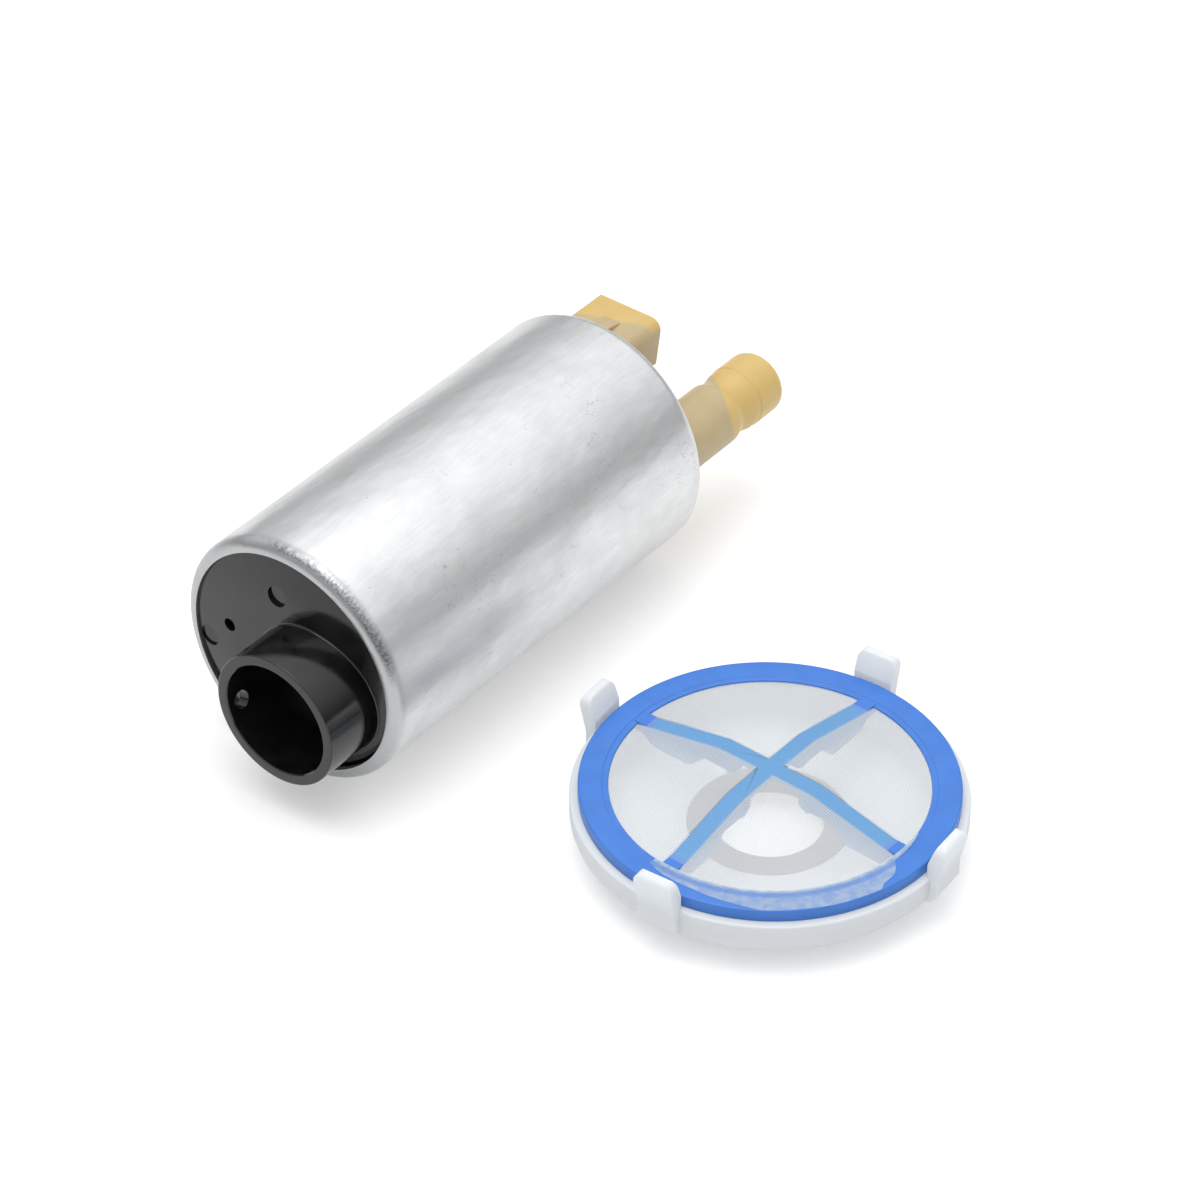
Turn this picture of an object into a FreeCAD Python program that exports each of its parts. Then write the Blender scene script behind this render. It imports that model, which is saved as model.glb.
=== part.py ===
"""In-tank electric fuel pump, lying on its side, with its inlet strainer taken off beside it.

Millimetres. The pump's axis is X, from the inlet end to the outlet end, and Z is up.
The origin is on the pump's axis, half way along the casing tube.
"""
import FreeCAD, Part
import math
import os

Vector = FreeCAD.Vector

# Casing tube
casing_radius = 19.0
casing_length = 69.0
casing_wall = 1.0
roll_radius = 1.95

# Even bevels that stand for each rounded corner
round_bevels = 2

# Straight runs in one turn of a coil spring
spring_runs = 10

# Overlap of fused pieces, and how far a cutting shape runs past the face it opens
overlap = 0.5
overshoot = 1.0

# Clearances
seat_gap = 0.03
bearing_gap = 0.03
guide_gap = 0.08
running_space = 0.25

# Inlet cover, with the tube that stands off its face
inlet_cover_length = 6.0
face_from_rim = 0.6
face_flat_radius = 13.2
face_edge_rise = 0.4
tube_y = -4.4
tube_z = -2.6
tube_radius = 10.2
tube_wall = 1.65
tube_reach = 8.4
tube_floor_thickness = 4.3
tube_foot_bevel = 0.3
side_hole_radius = 1.45
side_hole_from_mouth = 2.7
side_hole_angle = -14.0
vent_y = 9.7
vent_z = 2.0
vent_radius = 1.0
vent_slot_sweep = 10.0
ejector_radius = 1.6
ejector_depth = 0.4
ejector_places = ((1.6, 10.8), (12.4, -0.8))

# Seal ring between the outlet cover and the return ring
seal_section = 1.5
seal_step_width = 1.8

# Pump chamber and impeller
chamber_length = 8.0
chamber_rim_width = 2.22
impeller_thickness = 3.6
impeller_tip_space = 0.35
vane_height = 3.0
vane_count = 20
vane_pocket_share = 0.62
vane_web = 0.7
channel_past_vanes = 0.6
channel_depth = 1.3
channel_sweep = 300.0
port_past_channel = 1.2
port_width = 2.6
port_half_angle = 15.0
delivery_hole_radius = 1.7

# Shaft and bearings
shaft_radius = 2.0
shaft_flat = 0.5
bearing_radius = 4.0
bearing_length = 6.0
bearing_boss_wall = 1.4
thrust_pad_radius = 2.6
thrust_pad_thickness = 1.4
thrust_play = 0.1
rear_bearing_from_bars = 1.8
shaft_short_of_bearing = 0.5

# Magnets and return ring
flux_ring_wall = 1.9
flux_ring_length = 37.0
flux_ring_slit = 0.4
magnet_length = 29.0
magnet_thickness = 3.84
magnet_sweep = 128.0
magnet_start = 4.5
clip_thickness = 0.8
clip_leg = 2.6

# Armature
air_gap = 0.45
core_length = 23.0
core_start = 8.2
core_yoke_radius = 5.4
slot_count = 8
tooth_width = 3.0
tooth_tip_thickness = 1.3
slot_mouth = 2.0
winding_gap = 0.15
winding_end_length = 4.2
winding_end_inset = 0.95
winding_bearing_space = 0.4
winding_end_bevel = 1.4
winding_root_share = 0.25

# Commutator, face type, and its two brushes
commutator_from_winding = 0.35
commutator_hub_length = 1.4
commutator_bar_length = 1.6
commutator_outer_radius = 9.4
commutator_inner_radius = 3.6
commutator_slit = 0.5
brush_width = 4.0
brush_length = 6.4
brush_edge_margin = 0.4
brush_angle = 125.0
brush_nose_length = 0.8
brush_commutator_gap = 0.12
brush_tube_wall = 1.0
brush_spring_wire = 0.35
brush_spring_radius = 1.35
brush_spring_turns = 4
brush_cap_thickness = 0.7
brush_tube_from_bars = 1.0

# Outlet cover
cover_web = 3.0
cover_wall = 3.2

# Hose nipple, on the outlet cover
nipple_y = -10.1
nipple_z = -1.2
nipple_radius = 4.85
nipple_neck_radius = 4.35
nipple_head_radius = 4.9
nipple_neck_start = 14.0
nipple_neck_low = 15.8
nipple_head_start = 18.8
nipple_reach = 25.3
nipple_end_round = 1.5
nipple_mouth_radius = 2.4
valve_bore_radius = 3.2

# Check valve in the nipple
valve_seat_from_rim = 1.5
valve_seat_length = 2.0
valve_seat_hole = 1.8
valve_seat_cone = 0.6
valve_closed_gap = 0.05
plunger_head_radius = 2.9
plunger_head_length = 1.8
plunger_stem_radius = 1.1
plunger_stem_length = 7.0
valve_spring_wire = 0.4
valve_spring_turns = 5
nipple_mouth_length = 5.1

# Relief valve in the outlet cover
relief_y = 9.8
relief_z = -6.9
relief_boss_radius = 3.3
relief_boss_reach = 3.0
relief_bore_radius = 2.0
relief_hole_radius = 1.1
relief_ball_radius = 1.6
relief_spring_wire = 0.3
relief_spring_radius = 1.1
relief_spring_turns = 2
relief_cap_thickness = 0.9
relief_cap_hole = 0.8
relief_floor = 1.0
relief_closed_gap = 0.02
relief_spring_gap = 0.05

# Plug housing and its blades
plug_y_low = -1.4
plug_y_high = 9.9
plug_z_low = 4.3
plug_z_high = 12.5
plug_reach = 12.6
plug_wall = 1.2
plug_corner_round = 1.7
plug_socket_depth = 10.4
latch_width = 3.0
latch_height = 0.9
latch_length = 3.2
latch_from_end = 4.2
latch_back = 0.8
blade_width = 2.8
blade_thickness = 0.8
blade_short_of_mouth = 4.6
blade_spacing = 4.5
blade_root = 3.6
blade_point_bevel = 0.24

# Interference chokes
choke_radius = 1.7
choke_length = 8.0
choke_wall_gap = 0.47
choke_angles = (28.0, 250.0)
choke_core_radius = 0.9
choke_core_overhang = 0.6

# Strainer, in its own frame: Z is its axis and its foot stands at zero
strainer_x = -6.3
strainer_y = -60.9
dish_turn = 4.0
frame_turn = -5.0
collar_reach = 2.5
dish_rim_width = 1.17
dish_wall = 1.3
dish_bottom_round = 4.0
dish_depth = 6.15
dish_ledge_overlap = 2.43
dish_ledge_thickness = 2.0
collar_wall = 1.07
collar_bore_gap = 0.1
seal_outer_radius = 11.2
seal_inner_radius = 7.5
seal_seat_height = 2.2
ring_outer_radius = 26.03
ring_width = 4.13
ring_thickness = 1.85
ring_bevel = 0.3
ring_inner_edge = 0.55
ring_inner_bevel = 1.5
arm_width = 2.4
arm_thickness = 1.0
arm_rise = 3.2
plateau_radius = 7.8
arm_tab_length = 2.0
rib_width = 1.2
rib_above_floor = 3.0
rib_foot_outer_radius = 19.8
rib_foot_inner_radius = 13.4
rib_notch_radius = 10.8
rib_notch_rise = 2.6
rib_lobe_radius = 6.7
rib_lobe_drop = 0.5
rib_end_radius = 5.2
mesh_thickness = 0.2
mesh_below_ring_top = 0.25
mesh_overlap_width = 2.2
mesh_overlap_centre = -141.0
mesh_overlap_sweep = 84.0
mesh_overlap_gap = 0.05
tent_skirt = 0.4
hook_count = 4
hook_width = 5.9
hook_inner_gap = 0.45
hook_bulge = 0.9
hook_lean = 1.0
hook_head_thickness = 1.6
hook_head_bevel = 0.4
hook_upright_height = 0.4
hook_above_ring = 3.7
hook_foot_height = 2.0
hook_corner_round = 1.4

# Worked out from the sizes above
inlet_rim_x = -casing_length / 2
outlet_rim_x = casing_length / 2
casing_bore_radius = casing_radius - casing_wall
lip_radius = casing_radius - roll_radius
fitted_radius = casing_bore_radius - seat_gap
tube_bore_radius = tube_radius - tube_wall
land_x = inlet_rim_x + casing_wall
face_x = inlet_rim_x + face_from_rim
tube_mouth_x = inlet_rim_x - tube_reach
cover_inner_x = land_x + inlet_cover_length
tube_floor_x = cover_inner_x - tube_floor_thickness
chamber_end_x = cover_inner_x + chamber_length
impeller_x = cover_inner_x + running_space
impeller_end_x = impeller_x + impeller_thickness
pocket_end_x = impeller_end_x + running_space
channel_outer_radius = fitted_radius - chamber_rim_width
impeller_radius = channel_outer_radius - impeller_tip_space
vane_root_radius = impeller_radius - vane_height
channel_inner_radius = vane_root_radius - channel_past_vanes
port_inner_radius = channel_inner_radius - port_past_channel
port_outer_radius = port_inner_radius + port_width
front_bearing_x = pocket_end_x + channel_depth
front_boss_end_x = front_bearing_x + bearing_length
flux_ring_end_x = chamber_end_x + flux_ring_length
flux_ring_bore_radius = fitted_radius - flux_ring_wall
magnet_outer_radius = flux_ring_bore_radius - seat_gap
magnet_inner_radius = magnet_outer_radius - magnet_thickness
magnet_x = chamber_end_x + magnet_start
core_radius = magnet_inner_radius - air_gap
core_x = chamber_end_x + core_start
core_end_x = core_x + core_length
winding_end_outer = core_radius - winding_end_inset
winding_end_inner = bearing_radius + bearing_boss_wall + winding_bearing_space
outlet_face_x = outlet_rim_x - casing_wall
web_inner_x = outlet_face_x - cover_web
commutator_x = core_end_x + winding_gap + winding_end_length + commutator_from_winding
brush_circle = commutator_outer_radius - brush_width / 2 - brush_edge_margin
brush_y = brush_circle * math.cos(math.radians(brush_angle))
brush_z = brush_circle * math.sin(math.radians(brush_angle))
bars_end_x = commutator_x + commutator_hub_length + commutator_bar_length
brush_x = bars_end_x + brush_commutator_gap
brush_end_x = brush_x + brush_length
brush_cap_x = outlet_face_x - brush_cap_thickness
rear_bearing_x = bars_end_x + rear_bearing_from_bars
thrust_pad_x = impeller_x - thrust_pad_thickness - thrust_play
shaft_x = impeller_x
shaft_end_x = rear_bearing_x + bearing_length - shaft_short_of_bearing
nipple_end_x = outlet_rim_x + nipple_reach
valve_bore_end = nipple_end_x - nipple_mouth_length
valve_seat_x = outlet_rim_x + valve_seat_from_rim
valve_seat_end_x = valve_seat_x + valve_seat_length
plunger_x = valve_seat_end_x + valve_closed_gap
plunger_head_end_x = plunger_x + plunger_head_length
plug_end_x = outlet_rim_x + plug_reach
choke_circle = fitted_radius - cover_wall - choke_wall_gap - choke_radius
relief_seat_x = web_inner_x + relief_floor
relief_ball_rise = math.sqrt(relief_ball_radius ** 2 - relief_hole_radius ** 2)
relief_ball_x = relief_seat_x + relief_ball_rise + relief_closed_gap
collar_bore_radius = tube_radius + collar_bore_gap
collar_radius = seal_outer_radius + seat_gap + collar_wall
ring_inner_radius = ring_outer_radius - ring_width
dish_radius = ring_outer_radius + dish_rim_width
dish_ledge_radius = ring_outer_radius - dish_ledge_overlap
mesh_overlap_radius = ring_inner_radius + mesh_overlap_width
ring_top_z = collar_reach + dish_depth + ring_thickness
ring_base_z = collar_reach + dish_depth
dish_floor_z = collar_reach + dish_wall
hook_inner_radius = ring_outer_radius + hook_inner_gap
mesh_rim_z = ring_top_z - mesh_below_ring_top
mesh_base_z = mesh_rim_z - mesh_thickness


def rod(radius, x_from, x_to, y=0.0, z=0.0):
    """Round bar along X."""
    return Part.makeCylinder(radius, x_to - x_from, Vector(x_from, y, z), Vector(1, 0, 0))


def sleeve(outer, inner, x_from, x_to, y=0.0, z=0.0):
    """Round tube along X."""
    bore = rod(inner, x_from - overshoot, x_to + overshoot, y, z)
    return rod(outer, x_from, x_to, y, z).cut(bore)


def block(x_from, x_to, y_from, y_to, z_from, z_to):
    """Square-cornered block between six planes."""
    corner = Vector(x_from, y_from, z_from)
    return Part.makeBox(x_to - x_from, y_to - y_from, z_to - z_from, corner)


def outline(corners, place):
    """Closed wire through 2-D corners, put in space by place."""
    points = [place(corner) for corner in corners]
    return Part.makePolygon(points + [points[0]])


def rounded(centre, radius, from_angle, to_angle):
    """Round corner as a few even bevels: points about a centre, between two angles in degrees."""
    points = []
    for step in range(round_bevels + 1):
        turn = math.radians(from_angle + (to_angle - from_angle) * step / round_bevels)
        points.append((centre[0] + radius * math.cos(turn), centre[1] + radius * math.sin(turn)))
    return points


def turned_x(steps, y=0.0, z=0.0):
    """Solid turned about a line along X. Steps are (x, radius)."""
    wire = outline(steps, lambda p: Vector(p[0], y, z + p[1]))
    return Part.Face(wire).revolve(Vector(0, y, z), Vector(1, 0, 0), 360)


def turned_z(steps):
    """Solid turned about Z. Steps are (radius, z)."""
    wire = outline(steps, lambda p: Vector(p[0], 0, p[1]))
    return Part.Face(wire).revolve(Vector(0, 0, 0), Vector(0, 0, 1), 360)


def sector_x(inner, outer, x_from, x_to, centre_angle, sweep):
    """Piece of a thick ring about the pump's axis. Angles run from +Y towards +Z."""
    face = Part.Face(outline([(x_from, inner), (x_to, inner), (x_to, outer), (x_from, outer)],
                             lambda p: Vector(p[0], p[1], 0)))
    solid = face.revolve(Vector(0, 0, 0), Vector(1, 0, 0), sweep)
    solid.rotate(Vector(0, 0, 0), Vector(1, 0, 0), centre_angle - sweep / 2)
    return solid


def turned_copies(shape, count, axis):
    """Copies of a shape, evenly spaced about an axis through the origin."""
    copies = []
    for index in range(count):
        copy = shape.copy()
        copy.rotate(Vector(0, 0, 0), axis, index * 360.0 / count)
        copies.append(copy)
    return copies


def joined(shapes):
    """One shape fused from many, with its seams taken out."""
    return shapes[0].multiFuse(shapes[1:]).removeSplitter()


def coil_spring(radius, wire, length, turns, x_from, y, z):
    """Compression spring along X, wound in short straight runs of square wire."""
    steps = turns * spring_runs
    rise = (length - wire) / steps
    points = []
    for step in range(steps + 1):
        turn = 2 * math.pi * step / spring_runs
        points.append(Vector(x_from + wire / 2 + rise * step, y + radius * math.cos(turn),
                             z + radius * math.sin(turn)))
    path = Part.makePolygon(points)
    half = wire / 2
    start = points[0]
    section = Part.makePolygon([start + Vector(a * half, b * half, 0)
                                for a, b in ((-1, -1), (1, -1), (1, 1), (-1, 1), (-1, -1))])
    return path.makePipeShell([section], True, False, 1)


def casing_tube():
    """Drawn tube, both ends rolled in over the covers."""
    left = (inlet_rim_x + roll_radius, lip_radius)
    right = (outlet_rim_x - roll_radius, lip_radius)
    return turned_x([
        *rounded(right, roll_radius, 90, 0),
        (outlet_face_x, lip_radius),
        (outlet_face_x, casing_bore_radius),
        (land_x, casing_bore_radius),
        (land_x, lip_radius),
        *rounded(left, roll_radius, 180, 90)])


def seal_ring():
    """Square-cut rubber ring on the outlet cover's step, against the return ring."""
    outer = casing_bore_radius - seat_gap / 2
    x_from = flux_ring_end_x + (seal_step_width - seal_section) / 2
    return sleeve(outer, outer - seal_section, x_from, x_from + seal_section)


def port_angle():
    """Direction from the pump's axis to the tube's, where the inlet port lies."""
    return math.degrees(math.atan2(tube_z, tube_y))


def inlet_cover():
    """Moulded cover: a slightly dished face inside the lip, and the offset inlet tube."""
    edge_radius = lip_radius - seat_gap
    dishing = []
    for step in range(1, round_bevels + 1):
        share = step / round_bevels
        dishing.append((face_x - face_edge_rise * share ** 2,
                        face_flat_radius + (edge_radius - face_flat_radius) * share))
    disc = turned_x([
        (face_x, 0),
        (face_x, face_flat_radius),
        *dishing,
        (land_x, edge_radius),
        (land_x, fitted_radius),
        (cover_inner_x, fitted_radius),
        (cover_inner_x, 0)])
    tube = turned_x([
        (tube_mouth_x, 0),
        (tube_mouth_x, tube_radius),
        (face_x - tube_foot_bevel, tube_radius),
        (face_x, tube_radius + tube_foot_bevel),
        (face_x + overlap, tube_radius + tube_foot_bevel),
        (face_x + overlap, 0)], tube_y, tube_z)
    cover = joined([disc, tube])
    bore = rod(tube_bore_radius, tube_mouth_x - overshoot, tube_floor_x, tube_y, tube_z)
    port = sector_x(port_inner_radius, port_outer_radius, tube_floor_x - overlap, cover_inner_x + overshoot,
                    port_angle(), 2 * port_half_angle)
    channel = sector_x(channel_inner_radius, channel_outer_radius, cover_inner_x - channel_depth,
                       cover_inner_x + overshoot, port_angle() + channel_sweep / 2 - port_half_angle,
                       channel_sweep)
    vent = rod(vent_radius, face_x - overshoot, cover_inner_x - channel_depth + overlap, vent_y, vent_z)
    vent_slot = sector_x(math.hypot(vent_y, vent_z), channel_inner_radius + overlap,
                         cover_inner_x - channel_depth, cover_inner_x + overshoot,
                         math.degrees(math.atan2(vent_z, vent_y)), vent_slot_sweep)
    pad_seat = rod(thrust_pad_radius + seat_gap, thrust_pad_x, cover_inner_x + overshoot)
    turn = math.radians(side_hole_angle)
    side_hole = Part.makeCylinder(
        side_hole_radius, tube_radius + overshoot,
        Vector(tube_mouth_x + side_hole_from_mouth, tube_y, tube_z),
        Vector(0, math.cos(turn), math.sin(turn)))
    marks = [rod(ejector_radius, face_x - overlap, face_x + ejector_depth, y, z)
             for y, z in ejector_places]
    return cover.cut([bore, port, channel, vent, vent_slot, pad_seat, side_hole] + marks)


def thrust_pad():
    """Hard disc that the shaft's end runs against."""
    return rod(thrust_pad_radius, thrust_pad_x, thrust_pad_x + thrust_pad_thickness)


def chamber_housing():
    """Pump chamber: pocket for the impeller, side channel, delivery hole and bearing boss."""
    boss_radius = bearing_radius + bearing_boss_wall
    body = rod(fitted_radius, cover_inner_x, chamber_end_x)
    boss = rod(boss_radius, chamber_end_x - overlap, front_boss_end_x)
    pocket = rod(channel_outer_radius, cover_inner_x - overshoot, pocket_end_x)
    channel = sector_x(channel_inner_radius, channel_outer_radius, pocket_end_x,
                       pocket_end_x + channel_depth,
                       port_angle() + channel_sweep / 2 - port_half_angle, channel_sweep)
    delivery_angle = math.radians(port_angle() + channel_sweep - 1.5 * port_half_angle)
    delivery_circle = (channel_inner_radius + channel_outer_radius) / 2
    delivery = rod(delivery_hole_radius, pocket_end_x, chamber_end_x + overshoot,
                   delivery_circle * math.cos(delivery_angle),
                   delivery_circle * math.sin(delivery_angle))
    bearing_seat = rod(bearing_radius + seat_gap, pocket_end_x - overshoot, front_boss_end_x + overshoot)
    return joined([body, boss]).cut([pocket, channel, delivery, bearing_seat])


def bearing(x_from):
    """Sintered bush with a running fit on the shaft."""
    return sleeve(bearing_radius, shaft_radius + bearing_gap, x_from, x_from + bearing_length)


def impeller():
    """Turbine wheel: vane pockets round both edges and a flatted bore."""
    wheel = rod(impeller_radius, impeller_x, impeller_end_x)
    half_pocket = (impeller_thickness - vane_web) / 2
    pocket_width = 2 * math.pi * vane_root_radius / vane_count * vane_pocket_share
    pocket = block(impeller_x - overshoot, impeller_x + half_pocket, vane_root_radius,
                   impeller_radius + overshoot, -pocket_width / 2, pocket_width / 2)
    far_pocket = pocket.mirror(Vector((impeller_x + impeller_end_x) / 2, 0, 0), Vector(1, 0, 0))
    around = Vector(1, 0, 0)
    pockets = turned_copies(pocket, vane_count, around) + turned_copies(far_pocket, vane_count, around)
    bore = flatted_rod(shaft_radius + seat_gap, shaft_flat - seat_gap, impeller_x - overshoot,
                       impeller_end_x + overshoot)
    return wheel.cut(pockets + [bore])


def flatted_rod(radius, flat, x_from, x_to):
    """Round bar along X with one flat, on its upper side."""
    cut_away = block(x_from - overshoot, x_to + overshoot, -radius - overshoot, radius + overshoot,
                     radius - flat, radius + overshoot)
    return rod(radius, x_from, x_to).cut(cut_away)


def rotor_shaft():
    """Ground shaft with a flat where the impeller sits."""
    driven = flatted_rod(shaft_radius, shaft_flat, shaft_x, impeller_end_x)
    plain = rod(shaft_radius, impeller_end_x, shaft_end_x)
    return joined([driven, plain])


def flux_ring():
    """Return ring rolled from strip, with the slit where its ends meet."""
    ring = sleeve(fitted_radius, flux_ring_bore_radius, chamber_end_x, flux_ring_end_x)
    slit = block(chamber_end_x - overshoot, flux_ring_end_x + overshoot, -flux_ring_slit / 2,
                 flux_ring_slit / 2, -casing_radius, -magnet_inner_radius)
    return ring.cut(slit)


def magnet(centre_angle):
    """Ferrite arc against the return ring."""
    return sector_x(magnet_inner_radius, magnet_outer_radius, magnet_x, magnet_x + magnet_length,
                    centre_angle, magnet_sweep)


def magnet_clip(centre_angle):
    """Bent spring strip that presses the magnets' edges apart."""
    gap_sweep = 180.0 - magnet_sweep
    outer = magnet_outer_radius
    edge_sweep = math.degrees(clip_thickness / outer)
    play = math.degrees(seat_gap / outer)
    back = sector_x(outer - clip_thickness, outer, magnet_x, magnet_x + magnet_length,
                    centre_angle, gap_sweep - 2 * play)
    legs = [sector_x(outer - clip_leg, outer, magnet_x, magnet_x + magnet_length,
                     centre_angle + side * (gap_sweep / 2 - play - edge_sweep / 2), edge_sweep)
            for side in (-1, 1)]
    return joined([back] + legs)


def lamination(x_from, x_to):
    """Slotted core outline as one thickness: yoke, teeth and their tips."""
    yoke = rod(core_yoke_radius, x_from, x_to)
    mouth_sweep = math.degrees(slot_mouth / core_radius)
    half_tip = math.radians(180.0 / slot_count - mouth_sweep / 2)
    tip_half_width = core_radius * math.sin(half_tip)
    tip_inner = core_radius * math.cos(half_tip) - tooth_tip_thickness / 2
    tooth = block(x_from, x_to, core_yoke_radius - overshoot, tip_inner + overlap, -tooth_width / 2,
                  tooth_width / 2)
    tip = block(x_from, x_to, tip_inner, core_radius + overshoot, -tip_half_width, tip_half_width)
    tip = tip.common(rod(core_radius, x_from, x_to))
    teeth = turned_copies(joined([tooth, tip]), slot_count, Vector(1, 0, 0))
    bore = rod(shaft_radius + seat_gap / 2, x_from - overshoot, x_to + overshoot)
    return joined([yoke] + teeth).cut(bore)


def armature_windings():
    """Formed winding: a bundle in each slot, joined by eight-sided end turns."""
    front_x = core_x - winding_gap
    back_x = core_end_x + winding_gap

    def end_turn(x_near, way):
        bevel_x = x_near + way * (winding_end_length - winding_end_bevel)
        tip_x = x_near + way * winding_end_length
        outer = [(x_near, winding_end_outer), (bevel_x, winding_end_outer),
                 (tip_x, winding_end_outer - winding_end_bevel)]
        rings = [slot_polygon(radius, x) for x, radius in outer]
        bore = rod(winding_end_inner, min(x_near, tip_x) - overshoot, max(x_near, tip_x) + overshoot)
        return joined([Part.makeLoft(rings[:2], True, True), Part.makeLoft(rings[1:], True, True)]).cut(bore)

    pitch = math.radians(180.0 / slot_count)
    outer_reach = core_radius - tooth_tip_thickness - winding_gap
    inner_reach = core_yoke_radius + winding_gap
    play = (tooth_width / 2 + winding_gap) / math.cos(pitch)
    corners = [
        (inner_reach, winding_root_share * inner_reach * math.tan(pitch)),
        (outer_reach * math.cos(pitch), outer_reach * math.sin(pitch) - play),
        (outer_reach * math.cos(pitch), play - outer_reach * math.sin(pitch)),
        (inner_reach, -winding_root_share * inner_reach * math.tan(pitch))]
    wire = outline(corners, lambda p: Vector(front_x - overlap, p[0], p[1]))
    bundle = Part.Face(wire).extrude(Vector(back_x - front_x + 2 * overlap, 0, 0))
    bundle.rotate(Vector(0, 0, 0), Vector(1, 0, 0), 180.0 / slot_count)
    bundles = turned_copies(bundle, slot_count, Vector(1, 0, 0))
    return joined([end_turn(front_x, -1), end_turn(back_x, 1)] + bundles)


def slot_polygon(radius, x):
    """Closed loop across the axis with a corner over each slot."""
    pitch = 360.0 / slot_count
    corners = []
    for index in range(slot_count):
        turn = math.radians(pitch * (index + 0.5))
        corners.append((radius * math.cos(turn), radius * math.sin(turn)))
    return outline(corners, lambda p: Vector(x, p[0], p[1]))


def commutator_hub():
    """Moulded disc that carries the commutator's bars."""
    return sleeve(commutator_outer_radius, shaft_radius + seat_gap / 2, commutator_x,
                  commutator_x + commutator_hub_length)


def commutator_bars():
    """Copper bars on the hub's face, parted by slits."""
    sweep = 360.0 / slot_count
    start_x = commutator_x + commutator_hub_length
    ring = sleeve(commutator_outer_radius, commutator_inner_radius, start_x, bars_end_x)
    slit = block(start_x - overshoot, bars_end_x + overshoot, 0, commutator_outer_radius + overshoot,
                 -commutator_slit / 2, commutator_slit / 2)
    slit.rotate(Vector(0, 0, 0), Vector(1, 0, 0), sweep / 2)
    return ring.cut(turned_copies(slit, slot_count, Vector(1, 0, 0)))


def square_bar(width, x_from, x_to, y, z, angle):
    """Square bar along X, one side facing the pump's axis."""
    bar = block(x_from, x_to, y - width / 2, y + width / 2, z - width / 2, z + width / 2)
    bar.rotate(Vector(0, y, z), Vector(1, 0, 0), angle)
    return bar


def brush(side):
    """Carbon block with a seat for its spring. Side is 1 or -1."""
    y, z = side * brush_y, side * brush_z
    carbon = square_bar(brush_width, brush_x, brush_end_x, y, z, brush_angle)
    nose_radius = brush_spring_radius - brush_spring_wire / 2 - guide_gap
    nose = rod(nose_radius, brush_end_x - brush_nose_length, brush_end_x + brush_nose_length, y, z)
    return joined([carbon, nose])


def brush_spring(side):
    """Spring between a brush and its cap."""
    return coil_spring(brush_spring_radius, brush_spring_wire,
                       brush_cap_x - brush_end_x - 2 * guide_gap, brush_spring_turns,
                       brush_end_x + guide_gap, side * brush_y, side * brush_z)


def brush_cap(side):
    """Contact plate that closes a brush tube."""
    return square_bar(brush_width + 2 * guide_gap - 2 * seat_gap, brush_cap_x, outlet_face_x,
                      side * brush_y, side * brush_z, brush_angle)


def nipple_solid():
    """Outside of the hose nipple, with its neck and rounded head."""
    neck_start = outlet_rim_x + nipple_neck_start
    neck_low = outlet_rim_x + nipple_neck_low
    head_start = outlet_rim_x + nipple_head_start
    round_centre = (nipple_end_x - nipple_end_round, nipple_head_radius - nipple_end_round)
    return turned_x([
        (web_inner_x, 0),
        (web_inner_x, nipple_radius),
        (neck_start, nipple_radius),
        (neck_low, nipple_neck_radius),
        (head_start, nipple_head_radius),
        *rounded(round_centre, nipple_end_round, 90, 0),
        (nipple_end_x, 0)], nipple_y, nipple_z)


def plug_housing_solid():
    """Outside of the plug housing, rounded along one top corner, with its latch ramp."""
    corner = (plug_y_low + plug_corner_round, plug_z_high - plug_corner_round)
    steps = [
        (plug_y_high, plug_z_low),
        (plug_y_high, plug_z_high),
        *rounded(corner, plug_corner_round, 90, 180),
        (plug_y_low, plug_z_low)]
    wire = outline(steps, lambda p: Vector(web_inner_x, p[0], p[1]))
    box = Part.Face(wire).extrude(Vector(plug_end_x - web_inner_x, 0, 0))
    latch_y = (plug_y_low + plug_y_high) / 2
    top_x = plug_end_x - latch_from_end - latch_length
    ramp_steps = [
        (top_x - latch_back, plug_z_high - overlap),
        (top_x - latch_back, plug_z_high + latch_height),
        (top_x, plug_z_high + latch_height),
        (top_x + latch_length, plug_z_high),
        (top_x + latch_length, plug_z_high - overlap)]
    ramp_wire = outline(ramp_steps, lambda p: Vector(p[0], latch_y - latch_width / 2, p[1]))
    ramp = Part.Face(ramp_wire).extrude(Vector(0, latch_width, 0))
    return joined([box, ramp])


def blade_places():
    """The two blades' middles, as (y, z)."""
    middle_y = (plug_y_low + plug_y_high) / 2
    middle_z = (plug_z_low + plug_z_high) / 2
    return [(middle_y + side * blade_spacing / 2, middle_z) for side in (-1, 1)]


def blade_box(y, z, growth):
    """Blade's straight length, grown all round by a gap."""
    end_x = plug_end_x - blade_short_of_mouth
    return block(web_inner_x - blade_root + growth, end_x, y - blade_width / 2 - growth,
                 y + blade_width / 2 + growth, z - blade_thickness / 2 - growth,
                 z + blade_thickness / 2 + growth)


def terminal(y, z):
    """Plug blade with a chamfered point."""
    blade = blade_box(y, z, 0)
    end_x = blade.BoundBox.XMax
    point_edges = [edge for edge in blade.Edges
                   if edge.BoundBox.XMin > end_x - seat_gap and edge.BoundBox.YLength > blade_width / 2]
    return blade.makeChamfer(blade_point_bevel, point_edges)


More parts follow.
